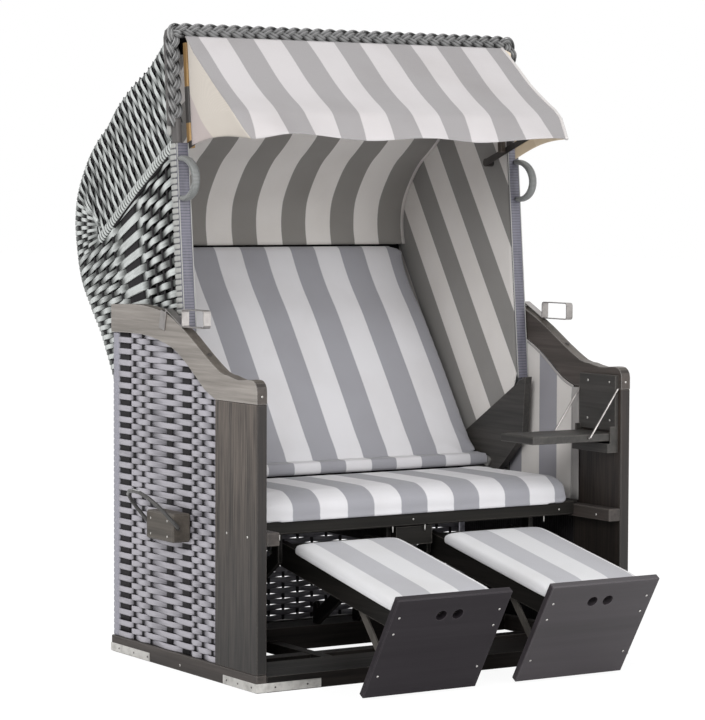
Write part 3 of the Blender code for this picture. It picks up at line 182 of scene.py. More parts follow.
# Floor frame and bottom rails
# Planed pine battens, screwed together and stained nearly black; the floor frame inside the basket is
# darker still as painted shade. The grain runs along each batten.
def stained_pine(name, along, deep, pale, roughness=0.6, streak=0.55, fibre=110.0, faces=(), rubbed="#8E8984",
                 foot=None):
    """Stained pine: fibres are noise drawn out along one axis, edges are rubbed paler, pores give the bump.

    Deep and pale are the stain's two tones. Faces that look towards a listed direction are multiplied by
    its tint: painted shade for faces that the light reaches less. With foot = (low, high, share) the colour
    falls to that share from the height high to low.
    """
    made, tree, shader = surface(name, roughness)
    where = add(tree, "TexCoord").outputs
    # Fibres are 28 times as long as they are wide, and the bands are 5 times as broad
    scale = np.full(3, fibre)
    scale[along] = fibre / 28
    drawn = add(tree, "Mapping", {"Vector": where["Object"], "Scale": tuple(scale)})
    fibres = add(tree, "TexNoise", {"Vector": drawn.outputs[0], "Scale": 1.0, "Detail": 6.0,
                                    "Roughness": 0.62}).outputs["Fac"]
    broad = add(tree, "Mapping", {"Vector": where["Object"], "Scale": tuple(scale / 5)})
    bands = add(tree, "TexNoise", {"Vector": broad.outputs[0], "Scale": 1.0, "Detail": 3.0,
                                   "Distortion": 0.4}).outputs["Fac"]
    both = add(tree, "Mix", {0: streak, 2: fibres, 3: bands})
    grain = add(tree, "ValToRGB", {"Fac": both.outputs[0]})
    grain.color_ramp.elements[0].position = 0.36
    grain.color_ramp.elements[0].color = srgb(deep)
    grain.color_ramp.elements[1].position = 0.66
    grain.color_ramp.elements[1].color = srgb(pale)
    stained = grain.outputs[0]
    # Painted shade: the faces towards each listed direction are darkened by its tint
    for direction, tint in faces:
        towards = add(tree, "VectorMath", {0: where["Normal"], 1: direction}, operation="DOT_PRODUCT")
        share = add(tree, "MapRange", {"Value": towards.outputs["Value"], "From Min": 0.45, "From Max": 0.65})
        stained = add(tree, "Mix", {0: share.outputs[0], 6: stained, 7: srgb(tint)},
                      data_type="RGBA", blend_type="MULTIPLY").outputs[2]
    if foot:
        low, high, least = foot
        height = add(tree, "SeparateXYZ", {0: where["Object"]}).outputs["Z"]
        fall = add(tree, "MapRange", {"Value": height, "From Min": low, "From Max": high, "To Min": least})
        stained = add(tree, "VectorMath", {0: stained, 1: fall.outputs[0]}, operation="MULTIPLY").outputs[0]
    # The stain is rubbed through where two faces meet
    round_off = add(tree, "Bevel", {"Radius": 0.003}, samples=4).outputs[0]
    facing = add(tree, "NewGeometry").outputs["Normal"]
    edge = add(tree, "VectorMath", {0: round_off, 1: facing}, operation="DOT_PRODUCT").outputs["Value"]
    worn = add(tree, "MapRange", {"Value": edge, "From Min": 0.995, "From Max": 0.86, "To Max": 0.35})
    colour = add(tree, "Mix", {0: worn.outputs[0], 6: stained, 7: srgb(rubbed)}, data_type="RGBA")
    gloss = add(tree, "MapRange", {"Value": fibres, "To Min": roughness + 0.12, "To Max": roughness - 0.1})
    pores = add(tree, "Bump", {"Height": fibres, "Strength": 0.35, "Distance": 0.0006})
    feed(tree, shader, colour.outputs[2], gloss.outputs[0], pores.outputs[0])
    return made


def dress(material, *nodes):
    """Put a material in the slots of CAD nodes whose shape stays."""
    for name in nodes:
        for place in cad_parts[name].material_slots:
            place.material = material


# The floor frame is darker than the rails: painted shade inside the basket
shaded_batten_x = stained_pine("stained pine batten across, in painted shade", 0, "#0F0D0C", "#2A2522")
batten_y = stained_pine("stained pine batten lengthwise", 1, "#221E1C", "#453E3A")
dress(shaded_batten_x, "floor_frame")
dress(batten_y, "bottom_rail_left", "bottom_rail_right", "ledger_left", "ledger_right")


# Side walls of the basket
# Flat plastic strips woven round upright stakes, behind a board in front and a wrapped edge at the back.
FRONT = -0.09
# Tables of (y, z) are measured back from the basket's front face, which lies at FRONT
SIDES = (("left", -1), ("right", 1))
ARM_FOOT = np.array([
    (0.200, 0.682), (0.226, 0.690), (0.253, 0.702), (0.279, 0.719), (0.303, 0.736), (0.340, 0.760),
    (0.379, 0.780), (0.411, 0.794), (0.445, 0.804), (0.489, 0.813), (0.535, 0.819), (0.575, 0.823),
    (0.615, 0.824), (0.714, 0.822), (0.740, 0.822)])


def arm_foot(y):
    """The height of the arm's underside at y, measured from the front."""
    return np.interp(y, ARM_FOOT[:, 0], ARM_FOOT[:, 1])


def xyz(x, y, z):
    """Points from their coordinates, each a number or an array."""
    return np.stack(np.broadcast_arrays(x, y, z), -1).astype(float)


def sweep(path, normal, profile, tone=0.5, slot=0):
    """Strips or tubes, n of them at once: a closed profile of (a, b) points carried along each path.

    Vertex = path point + a * side + b * normal, where side is the normal crossed with the path's direction,
    and the normal is first made square to the path. The UV map holds metres along it and turns round it.
    """
    path = np.asarray(path, float)
    if path.ndim == 2:
        path = path[None]
    normal = np.broadcast_to(np.asarray(normal, float), path.shape)
    run = unit(np.gradient(path, axis=1))
    normal = unit(normal - run * (normal * run).sum(2, keepdims=True))
    side = np.cross(normal, run)
    n, k = path.shape[:2]
    profile = np.broadcast_to(np.asarray(profile, float), (n, k) + np.shape(profile)[-2:])
    s = profile.shape[2]
    points = path[:, :, None] + side[:, :, None] * profile[..., :1] + normal[:, :, None] * profile[..., 1:]
    number = np.arange(n * k * s).reshape(n, k, s)
    here, ahead = number[:, :-1], number[:, 1:]
    quads = np.stack([here, np.roll(here, -1, 2), np.roll(ahead, -1, 2), ahead], -1).reshape(-1, 4)
    steps = np.linalg.norm(np.diff(path, axis=1), axis=2)
    length = np.concatenate([np.zeros((n, 1)), np.cumsum(steps, 1)], 1)
    start, stop = (np.broadcast_to(x[:, :, None], here.shape) for x in (length[:, :-1], length[:, 1:]))
    turns = np.broadcast_to(np.arange(s) / s, here.shape)
    after = turns + 1 / s
    uv = np.stack([start, turns, start, after, stop, after, stop, turns], -1).reshape(-1, 4, 2)
    j = np.arange(s // 2 - 1)
    cap = np.stack([j, j + 1, s - 2 - j, s - 1 - j], -1)
    first, last = number[:, 0][:, cap[:, ::-1]], number[:, -1][:, cap]
    ends = np.concatenate([first.reshape(-1, 4), last.reshape(-1, 4)])
    tone = np.asarray(tone, float)
    tone = tone if tone.ndim == 2 else tone.reshape(-1, 1)
    tones = np.repeat(np.broadcast_to(tone, (n, k)), s, axis=1).reshape(-1)
    quads = np.concatenate([quads, ends])
    uv = np.concatenate([uv, np.zeros((len(ends), 4, 2))])
    return points.reshape(-1, 3), quads, uv, tones, np.full(len(quads), slot)


def build(name, parts, materials, smooth=True):
    """One mesh object from swept or gridded parts; each part's slot picks its material."""
    start = np.cumsum([0] + [len(part[0]) for part in parts])
    points, _, uv, tones, slots = (np.concatenate(items) for items in zip(*parts))
    quads = np.concatenate([part[1] + begin for part, begin in zip(parts, start)])
    mesh = bpy.data.meshes.new(name)
    mesh.vertices.add(len(points))
    mesh.vertices.foreach_set("co", points.astype(np.float32).ravel())
    mesh.loops.add(quads.size)
    mesh.loops.foreach_set("vertex_index", quads.astype(np.int32).ravel())
    mesh.polygons.add(len(quads))
    mesh.polygons.foreach_set("loop_start", np.arange(0, quads.size, 4, dtype=np.int32))
    mesh.update(calc_edges=True)
    mesh.polygons.foreach_set("material_index", slots.astype(np.int32))
    mesh.polygons.foreach_set("use_smooth", np.full(len(quads), smooth))
    mesh.uv_layers.new(name="run").data.foreach_set("uv", uv.astype(np.float32).ravel())
    mesh.attributes.new("tone", "FLOAT", "POINT").data.foreach_set("value", tones.astype(np.float32))
    for material in materials:
        mesh.materials.append(material)
    mesh.validate()
    return placed(name, mesh)


def flat_strip(width, thickness):
    """The section of a flat strip: six points, thinner towards its two edges."""
    width, thickness = np.broadcast_arrays(width, thickness)
    a = width[..., None] * [-0.5, -0.36, 0.36, 0.5, 0.36, -0.36]
    b = thickness[..., None] * [0, -0.5, -0.5, 0, 0.5, 0.5]
    return np.stack([a, b], -1)


def superellipse(count, power, width, height, turn=None):
    """A rounded rectangle: cosine and sine raised to a small power, keeping their signs."""
    angle = np.linspace(0, 2 * math.pi, count + 1)[:-1] + (math.pi / count if turn is None else turn)
    c, s = np.cos(angle), np.sin(angle)
    return np.stack([np.sign(c) * np.abs(c) ** power * width, np.sign(s) * np.abs(s) ** power * height], -1)


def sized(section, size):
    """A section scaled by a size at each step of one path."""
    return section * np.asarray(size)[None, :, None, None]


def waists(count, every):
    """The waists of a winding along a path: 1 at every few steps, else 0."""
    return (np.arange(count) % every == 0).astype(float)


def over_under(stakes, start, end):
    """Where a strip is sampled on its way past the stakes, which side it is on there, and how near to one.

    Each stake (middle, half width) gives three samples on its own side (+1 or -1), and the side changes from
    stake to stake; the two ends lie level. Nearness has the same sign and is 1 in the middle of a stake.
    """
    places, sides, near = [start], [0.0], [0.0]
    for i, (middle, half) in enumerate(stakes):
        sign = (-1.0) ** i
        places += [middle - half - 0.002, middle, middle + half + 0.002]
        sides += [sign * 0.86, sign, sign * 0.86]
        near += [sign * 0.6, sign, sign * 0.6]
    return np.array(places + [end]), np.array(sides + [0.0]), np.array(near + [0.0])


def strip_plastic(name, dark, light, roughness, ribs=5.0):
    """Woven polyethylene: extruded flat, satin, finely ribbed, each length lighter or darker by its tone,
    which also carries painted highlight and shade.
    """
    made, tree, shader = surface(name, roughness)
    run = add(tree, "UVMap", uv_map="run").outputs[0]
    shade = add(tree, "Attribute", attribute_name="tone").outputs["Fac"]
    # Streaks are drawn out along the strip, about 4 mm wide at most
    drawn = add(tree, "Mapping", {"Vector": run, "Scale": (14.0, 9.0, 1.0)})
    streaks = add(tree, "TexNoise", {"Vector": drawn.outputs[0], "Scale": 1.0, "Detail": 4.0,
                                     "Roughness": 0.6}).outputs["Fac"]
    where = add(tree, "TexCoord").outputs["Object"]
    weather = add(tree, "TexNoise", {"Vector": where, "Scale": 7.0, "Detail": 2.0}).outputs["Fac"]
    calm = add(tree, "MapRange", {"Value": weather, "To Min": 0.38, "To Max": 0.62})
    both = add(tree, "Math", {0: streaks, 1: shade}, operation="ADD")
    both = add(tree, "Math", {0: both.outputs[0], 1: 0.5, 2: calm.outputs[0]}, operation="MULTIPLY_ADD")
    colour = add(tree, "ValToRGB", {"Fac": both.outputs[0]})
    colour.color_ramp.elements[0].position = 0.62
    colour.color_ramp.elements[0].color = srgb(dark)
    colour.color_ramp.elements[1].position = 1.0
    colour.color_ramp.elements[1].color = srgb(light)
    # The ribs are drawn about twice as coarse as the real ones, so that they show
    ribbed = add(tree, "Mapping", {"Vector": run, "Scale": (0.0, ribs * 2, 0.0)})
    wave = add(tree, "TexWave", {"Vector": ribbed.outputs[0], "Scale": 1.0, "Distortion": 0.0},
               bands_direction="Y")
    relief = add(tree, "Bump", {"Height": wave.outputs["Fac"], "Strength": 0.25, "Distance": 0.0004})
    gloss = add(tree, "MapRange", {"Value": streaks, "To Min": roughness - 0.08, "To Max": roughness + 0.14})
    feed(tree, shader, colour.outputs[0], gloss.outputs[0], relief.outputs[0])
    return made


def fitted(piece, body, slot, *nodes):
    """Fixes a piece to its body and hides the CAD nodes that it takes the place of. The slot is not used."""
    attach(piece, body)
    for node in nodes:
        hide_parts(node)


basket_strip = strip_plastic("woven polyethylene strip", "#5A585E", "#ACA9B0", 0.42)
# Dark stakes; the same material is the painted shade in the sheets behind the weave and under the hood seam
stake_and_shade_plastic = strip_plastic("dark stake and painted shade", "#141314", "#2A282A", 0.6)
wrap_plastic = strip_plastic("wound edge strip", "#74737F", "#96959F", 0.46, 3.0)
chance = np.random.default_rng(7)

ROW = 0.0145
RAIL_TOP = 0.0425
STAKE_FOOT = 0.043
WALL_X = 0.5415
SHADE_SHEET_X = 0.5305
WALL_ROWS = 54
# Stakes as (middle, half width)
SIDE_STAKES = [(0.228, 0.0045), (0.275, 0.0045), (0.313, 0.0045), (0.3565, 0.0205), (0.442, 0.016),
               (0.540, 0.005), (0.584, 0.005), (0.630, 0.005), (0.678, 0.028)]
for word, side in SIDES:
    out = (side, 0, 0)
    rows = RAIL_TOP + ROW * (np.arange(WALL_ROWS) + 0.5)
    begin = np.interp(rows - 0.0066, ARM_FOOT[:, 1], ARM_FOOT[:, 0], left=0.1995)[:, None]
    place, sway, _ = over_under(SIDE_STAKES, 0.2003, 0.712)
    along = np.maximum(place, begin + 0.0004 * np.arange(len(place)))
    parity = (-1.0) ** np.arange(WALL_ROWS)[:, None]
    lift = 0.0036 * parity * sway * (place > begin)
    # The broad floats bulge between the two wide stakes
    lift = lift + 0.0012 * np.exp(-((along - 0.497) / 0.025) ** 2) * (1 - 0.6 * parity)
    shade = 0.5 + 0.35 * (chance.random(WALL_ROWS) - 0.5)
    # Each strip's tone rises where it passes over a stake and falls where it passes under: painted highlight
    # and shade
    parts = [sweep(xyz(side * (WALL_X + lift), along + FRONT, rows[:, None]), out, flat_strip(0.0151, 0.0017),
                   tone=shade[:, None] - 0.25 + 0.35 * parity * sway)]
    # The rear edge is wound with the same strip, one turn to a row
    z = np.linspace(RAIL_TOP, 0.8215, WALL_ROWS * 4 + 1)
    swell = 1 - 0.10 * waists(len(z), 4)
    parts.append(sweep(xyz(side * 0.5352, 0.7238 + FRONT, z), out,
                       sized(superellipse(12, 0.45, 0.0150, 0.0115, 0.13), swell), tone=0.75, slot=2))
    for middle, half in SIDE_STAKES:
        z = np.linspace(STAKE_FOOT, arm_foot(middle) + 0.01, 8)
        parts.append(sweep(xyz(side * WALL_X, middle + FRONT, z), out, flat_strip(2 * half, 0.0015),
                           tone=0.4, slot=1))
    # A dark sheet behind the weave is painted shade: it stands for the shade behind the strips
    y = np.arange(0.2055, 0.735, 0.01)
    shade_sheet = [xyz(side * SHADE_SHEET_X, y + FRONT, z) for z in (STAKE_FOOT, arm_foot(y) - 0.0005)]
    shade_sheet = np.stack(shade_sheet, 1)
    parts.append(sweep(shade_sheet, out, flat_strip(0.0101, 0.001), tone=0.3, slot=1))
    wall = build("side_weave_" + word, parts, [basket_strip, stake_and_shade_plastic, wrap_plastic])
    fitted(wall, "base", "woven_strip", "side_wicker_" + word)


# Low rear wall of the basket
# The same strips woven across under a wound top rail; light shows through beside each stake.
REAR_MIDDLE = 0.726 + FRONT
REAR_ROWS = 20
REAR_HALF = 0.5215
rows = RAIL_TOP + ROW * (np.arange(REAR_ROWS) + 0.5)
rear_stakes = [(x, 0.0045) for x in np.linspace(-0.492, 0.492, 23)]
place, sway, near = over_under(rear_stakes, -REAR_HALF, REAR_HALF)
parity = (-1.0) ** np.arange(REAR_ROWS)[:, None]
path = xyz(place, REAR_MIDDLE + 0.0032 * sway * parity, rows[:, None] + 0.0011 * near * parity)
# Some strips are narrower where they pass a stake
width = 0.0150 - 0.0016 * np.abs(near) * (chance.random((REAR_ROWS, len(near))) < 0.6)
# The rear strips' tones are set low, with a random spread per row: painted shade inside the basket
shade = -0.1 + 0.35 * (chance.random(REAR_ROWS) - 0.5)
parts = [sweep(path, (0, 1, 0), flat_strip(width, 0.0016), tone=shade)]
x = np.linspace(-REAR_HALF, REAR_HALF, 72 * 4 + 1)
swell = 1 - 0.08 * waists(len(x), 4)
parts.append(sweep(xyz(x, REAR_MIDDLE, 0.3575), (0, 0, 1),
                   sized(superellipse(12, 0.4, 0.0138, 0.0222, 0.13), swell), tone=0.6, slot=2))
for x, half in rear_stakes:
    line = xyz(x, REAR_MIDDLE, np.linspace(STAKE_FOOT, 0.338, 6))
    parts.append(sweep(line, (0, 1, 0), flat_strip(2 * half, 0.0015), tone=0.4, slot=1))
wall = build("rear_weave", parts, [basket_strip, stake_and_shade_plastic, wrap_plastic])
fitted(wall, "base", "woven_strip", "rear_wicker")


# Hood: woven back and sides
# Strips run over the back from one side to the other, round the edges, and down the sides to a wound seam.
HOOD_LINE = np.array([
    (0.5084, 1.5751), (0.6195, 1.4912), (0.7152, 1.4440), (0.7923, 1.3969), (0.8489, 1.3471),
    (0.9107, 1.3072), (0.9621, 1.2575), (1.0125, 1.1824), (1.0290, 1.1136), (1.0239, 1.0464),
    (0.9950, 0.9472), (0.9405, 0.8768), (0.8860, 0.8144), (0.8232, 0.7160), (0.7578, 0.6016),
    (0.6560, 0.4200)])
HOOD_X = 0.5105


def evenly(points, count):
    """Points at even steps along straight lines through the given ones, and their total length."""
    points = np.asarray(points, float)
    length = np.concatenate([[0], np.cumsum(np.linalg.norm(np.diff(points, axis=0), axis=1))])
    steps = np.linspace(0, length[-1], count)
    return np.stack([np.interp(steps, length, column) for column in points.T], -1), length[-1]


def curve_through(points, count):
    """Evenly spaced points on a curve through the given ones, and its length.

    Between points a and c, with b before and d after: half of 2a + (c - b)t + (2b - 5a + 4c - d)t^2
    + (3a - b - 3c + d)t^3.
    """
    points = np.asarray(points, float)
    longer = np.concatenate([points[:1], points, points[-1:]])
    b, a, c, d = (longer[i:len(points) - 1 + i, None] for i in range(4))
    t = np.linspace(0, 1, 24, endpoint=False)[None, :, None]
    fine = 0.5 * (2 * a + (c - b) * t + (2 * b - 5 * a + 4 * c - d) * t ** 2
                  + (3 * a - b - 3 * c + d) * t ** 3)
    return evenly(np.concatenate([fine.reshape(-1, points.shape[1]), points[-1:]]), count)


def point_on(line, share):
    """The point a share of the way along a line of evenly spaced points."""
    step = np.asarray(share, float) * (len(line) - 1)
    return np.stack([np.interp(step, np.arange(len(line)), column) for column in line.T], -1)


def at_x(x, line):
    """Points of a line in (y, z), put at x."""
    return xyz(x, line[..., 0], line[..., 1])


hood_strip = strip_plastic("woven strip of the hood", "#454846", "#CDD1CF", 0.3)
rim_line, rim_length = curve_through(HOOD_LINE, 400)
rim_line[:, 0] += FRONT
# The rim runs back over the hood and down, so a quarter turn of its direction points outward
rim_normal = unit(np.gradient(rim_line, axis=0))[:, ::-1] * (-1, 1)
row_count = int((rim_length - 0.008) / ROW)
row_share = (0.004 + ROW * (np.arange(row_count) + 0.5)) / rim_length
row_point = point_on(rim_line, row_share)
row_normal = point_on(rim_normal, row_share)
row_parity = (-1.0) ** np.arange(row_count)[:, None]
row_tone = 0.5 + 0.4 * (chance.random(row_count) - 0.5)

back_stakes = np.linspace(-0.462, 0.462, 22)
place, sway, _ = over_under([(x, 0.0045) for x in back_stakes], -0.4925, 0.4925)
depth = -0.005 + 0.003 * sway * row_parity
path = at_x(place, row_point[:, None] + row_normal[:, None] * depth[..., None])
parts = [sweep(path, at_x(0, row_normal)[:, None], flat_strip(0.0134, 0.0016), tone=row_tone)]
share = np.linspace(0.004, 0.998, 90)
line = point_on(rim_line, share)
normal = point_on(rim_normal, share)
for x in back_stakes:
    parts.append(sweep(at_x(x, line - 0.005 * normal), at_x(0, normal), flat_strip(0.009, 0.0014),
                       tone=0.4, slot=1))
# A dark sheet behind the back weave is painted shade: it stands for the shade behind the strips
parts.append(sweep(at_x(0, line - 0.0106 * normal), at_x(0, normal), flat_strip(1.012, 0.001),
                   tone=0.3, slot=1))
shell = build("hood_back_weave", parts, [hood_strip, stake_and_shade_plastic])
fitted(shell, "hood", "woven_strip", "hood_back")


def rim_share(y, z):
    """How far along the rim its nearest point to (y, z) lies."""
    return np.argmin(((rim_line - (y + FRONT, z)) ** 2).sum(1)) / (len(rim_line) - 1)


# Each group of rows runs from a stretch of the rim to a line on the side: above the seam, round its end and
# below it. Stakes are (distance from the rim, half width); below the seam the distance is a share of the row.
GROUPS = [
    ([rim_share(0.51, 1.575), rim_share(0.646, 1.471), rim_share(0.985, 1.225), rim_share(1.022, 1.150)],
     [(0.508, 1.556), (0.482, 1.292), (0.869, 1.066), (0.886, 1.106)],
     [(x, 0.0045) for x in (0.030, 0.083, 0.136, 0.189)], False, 0.0112),
    ([rim_share(1.022, 1.150), rim_share(1.006, 0.990)], [(0.906, 1.118), (0.884, 1.046)],
     [(x, 0.0045) for x in (0.030, 0.062, 0.092)], False, 0.0134),
    ([rim_share(1.006, 0.990), rim_share(0.905, 0.836), rim_share(0.76, 0.605), 1.0],
     [(0.480, 1.284), (0.448, 0.920), (0.431, 0.700), (0.638, 0.447)],
     [(0.07, 0.009), (0.17, 0.009), (0.27, 0.009), (0.37, 0.009), (0.535, 0.075), (0.68, 0.009),
      (0.76, 0.009), (0.84, 0.009), (0.92, 0.009)], True, 0.0134),
]
# The dark sheet of painted shade behind the weave reaches from the rim to this front edge
shade_sheet_share = np.linspace(0.0, 1.0, 60)
shade_sheet_front = [np.interp(shade_sheet_share, [0, 0.36, 0.72, 1], edge)
              for edge in ([0.508, 0.47, 0.44, 0.62], [1.556, 1.17, 0.70, 0.455])]
shade_sheet_front = np.stack(shade_sheet_front, -1) + (FRONT, 0)
shade_sheet = np.stack([point_on(rim_line - 0.012 * rim_normal, shade_sheet_share), shade_sheet_front], 1)
SEAM_STEPS = 120
seam = curve_through([(0.476 + FRONT, 1.297), (0.66 + FRONT, 1.193), (0.872 + FRONT, 1.058)], SEAM_STEPS)[0]
round_ring = superellipse(10, 1.0, 1.0, 1.0, 0.0)
for word, side in SIDES:
    out = (side, 0, 0)
    parts = []
    for stretch, ends, stakes, by_share, strip_width in GROUPS:
        inside = (row_share >= stretch[0]) & (row_share < stretch[-1] + 0.0001)
        start = row_point[inside]
        parity = row_parity[inside]
        share = row_share[inside]
        finish = np.stack([np.interp(share, stretch, column) for column in np.transpose(ends)], -1)
        finish += (FRONT, 0)
        reach = np.linalg.norm(finish - start, axis=1, keepdims=True)
        way = (finish - start) / reach
        scale = reach if by_share else np.ones_like(reach)
        place, sway, _ = over_under(stakes, 0.0, 1.0)
        place = np.concatenate([place[1:-1] * scale, np.maximum(reach, 0.02)], 1)
        steps = np.arange(place.shape[1])
        cut = np.minimum(place, reach - 0.0003 * steps[::-1])
        lift = 0.003 * sway[1:] * parity * (place <= cut + 1e-6)
        flat_part = start[:, None] + way[:, None] * np.maximum(cut, 0.0135 + 0.0002 * steps)[..., None]
        # Round the edge: two samples on the back, one on the corner, one on the side
        level = start - 0.005 * row_normal[inside]
        wrap = np.stack([level, level, level + 0.003 * way, start + 0.0105 * way], 1)
        wrap_x = np.broadcast_to([0.4925, 0.5025, 0.5088, 0.5107], wrap.shape[:2])
        path = at_x(side * np.concatenate([wrap_x, HOOD_X + lift], 1), np.concatenate([wrap, flat_part], 1))
        lean = np.array([0, 0, 0.8, 1] + [1] * len(steps))[:, None]
        normal = lean * out + (1 - lean) * at_x(0, row_normal[inside])[:, None]
        # Strips narrow or widen with the spacing of their ends
        spread = np.clip(np.linalg.norm(np.gradient(finish, axis=0), axis=1) / ROW, 0.62, 1.35)[:, None]
        width = strip_width * (1 + (spread - 1) * np.linspace(0, 1, path.shape[1]))
        if by_share:
            # Across the broad stake the strips are spread wider
            width[:, 15:20] *= 1.45
        # Where a strip passes over a stake its tone is raised, and where it passes under it is lowered:
        # painted highlight and shade
        painted_shine = np.concatenate([np.zeros((len(start), 4)), sway[1:] * parity], 1)
        parts.append(sweep(path, normal, flat_strip(width, 0.0016),
                           tone=row_tone[inside][:, None] - 0.50 + 0.55 * painted_shine))
        for middle, half in stakes:
            away = middle * scale
            shown = (away < reach - 0.004)[:, 0]
            if shown.sum() > 3:
                run = (start + way * away)[shown]
                first = run[:1] + (run[:1] - run[1:2]) * 0.6
                last = run[-1:] + (run[-1:] - run[-2:-1]) * 0.6
                run = np.concatenate([first, run, last])
                wide = 2 * half * (0.55 if by_share else 1.0)
                parts.append(sweep(at_x(side * HOOD_X, run), out, flat_strip(wide, 0.0014), tone=0.4, slot=1))
    # The dark sheet of painted shade behind the side weave
    parts.append(sweep(at_x(side * 0.5048, shade_sheet), out, flat_strip(0.040, 0.0008), tone=0.3, slot=1))
    # The seam is a cord wound with strip, let into the side; a dark cord under it is its painted shadow
    line = at_x(side * 0.512, seam)
    waist = waists(SEAM_STEPS, 3)
    # The tone drops in the groove between turns: painted shade
    parts.append(sweep(line, out, sized(round_ring * (1.55, 0.8), 0.0092 * (1 - 0.30 * waist)),
                       tone=(0.55 - 1.1 * waist)[None]))
    seam_shadow = line[10:-22] - (0, 0.0086, 0.0150)
    parts.append(sweep(seam_shadow, out, round_ring * (0.0040, 0.0052), tone=0.0, slot=1))
    wall = build("hood_side_weave_" + word, parts, [hood_strip, stake_and_shade_plastic])
    fitted(wall, "hood", "woven_strip", "hood_side_" + word)


# Front frame of the hood
# An ash hoop: its legs are wound with flat strip, and a plait of ribbed strands covers its shoulders and top.
LEAN = math.atan(0.09)
OUT = np.array([0.0, -math.cos(LEAN), math.sin(LEAN)])
LEG_X = 0.50775


def front_of_hood(z):
    """How far back the frame's front face lies at a height: it leans 90 mm in a metre."""
    return 0.478 - 0.09 * (1.60 - np.asarray(z, float)) + FRONT


def leaning(x, back, z):
    """Points at x and z that lie a distance behind the frame's front face."""
    return xyz(x, front_of_hood(z) + back, z)


plait_strand = strip_plastic("ribbed plaited strand", "#262626", "#989898", 0.42, 4.0)
leg_plastic = strip_plastic("wound leg strip", "#3D3C45", "#6B6A76", 0.42, 2.0)
plain_sleeve = strip_plastic("dark plain sleeve", "#3B3938", "#565352", 0.5, 2.0)
binding = strip_plastic("light binding strip", "#4E4F52", "#A6A6A3", 0.35, 2.0)

PLAIT_LOW = 1.345
PLAIT_TURN = 0.105
HOOP_STEPS = 520
SHOULDER = 0.016
turn = np.linspace(0, math.pi / 2, 7)
x = np.append(-0.5120, -0.5120 + SHOULDER * (1 - np.cos(turn)))
z = np.append(PLAIT_LOW, 1.5795 - SHOULDER * (1 - np.sin(turn)))
hoop, hoop_length = evenly(leaning(np.append(x, -x[::-1]), 0, np.append(z, z[::-1])), HOOP_STEPS)
parts = [sweep((hoop - OUT * 0.021)[::4], OUT, superellipse(12, 0.5, 0.0165, 0.0085), slot=1, tone=0.4)]
beside = np.cross(OUT, unit(np.gradient(hoop, axis=0)))
for strand in range(3):
    angle = 2 * math.pi * (np.linspace(0, hoop_length, HOOP_STEPS) / PLAIT_TURN + strand / 3)
    path = hoop - OUT * 0.0105 + beside * (0.0118 * np.sin(angle))[:, None] \
        + OUT * (0.0052 * np.sin(2 * angle))[:, None]
    flank = np.cross(OUT, unit(np.gradient(path, axis=0)))
    for cord in range(4):
        # Four round cords lie side by side in a strand
        # Painted light: the tone rises where a strand comes outward and falls where it dips; alternate cords
        # are set lighter and darker
        painted_plait_light = 0.40 * np.sin(2 * angle) + (0.16 if cord % 2 else -0.20)
        parts.append(sweep(path + flank * (cord - 1.5) * 0.0044, OUT, superellipse(6, 1.0, 0.0019, 0.0032),
                           tone=painted_plait_light[None]))
fitted(build("hood_plait", parts, [plait_strand, plain_sleeve]), "hood", "wrapped_edge")

parts = []
for side in (-1, 1):
    z = np.linspace(0.6905, 1.300, 84 * 4 + 1)
    waist = waists(len(z), 4)
    # The leg is wound, and so is the wider lath on its front
    for x, back, wide, deep in ((LEG_X, 0.0151, 0.0083, 0.0148), (0.5004, 0.0030, 0.0156, 0.0038)):
        ring = sized(superellipse(14, 0.42, wide, deep), 1 - 0.07 * waist)
        # The tone drops in the groove between turns: painted shade
        parts.append(sweep(leaning(side * x, back, z), OUT, ring, tone=(0.45 - 0.6 * waist)[None]))
    # A pale piping closes the winding on both corners, and a plain sleeve its upper end
    z = np.linspace(0.6905, 1.300, 60)
    for x in (0.4845, 0.5162):
        parts.append(sweep(leaning(side * x, 0.0008, z), OUT, superellipse(6, 1.0, 0.0014, 0.0014), slot=2))
    z = np.linspace(1.296, 1.360, 8)
    parts.append(sweep(leaning(side * LEG_X, 0.0151, z), OUT, superellipse(14, 0.42, 0.0086, 0.0152), slot=1))
legs = build("hood_legs", parts, [leg_plastic, plain_sleeve, binding])
fitted(legs, "hood", "wrapped_edge", "hood_front_frame")

# The woven side is bound to the frame with light strip, one turn to a row, and with four wide ties higher up
for word, side in SIDES:
    z = np.linspace(0.700, 1.300, 41 * 5 + 1)
    waist = waists(len(z), 5)
    ring = sized(superellipse(10, 0.7, 0.0160, 0.0052), 1 - 0.4 * waist)
    # The tone drops in the groove between turns: painted shade
    parts = [sweep(leaning(side * 0.5140, 0.0235, z), (side, 0, 0), ring, tone=(0.55 - 1.1 * waist)[None])]
    ring = sized(superellipse(10, 0.7, 0.0085, 0.0050), 1 - np.linspace(-1, 1, 9) ** 4 * 0.5)
    for middle in (1.335, 1.395, 1.455, 1.520):
        line = leaning(side * 0.5175, 0.0340, np.linspace(middle - 0.017, middle + 0.017, 9))
        parts.append(sweep(line, (side, 0, 0), ring, tone=0.9))
    fitted(build("hood_side_binding_" + word, parts, [binding]), "hood", "wrapped_edge")


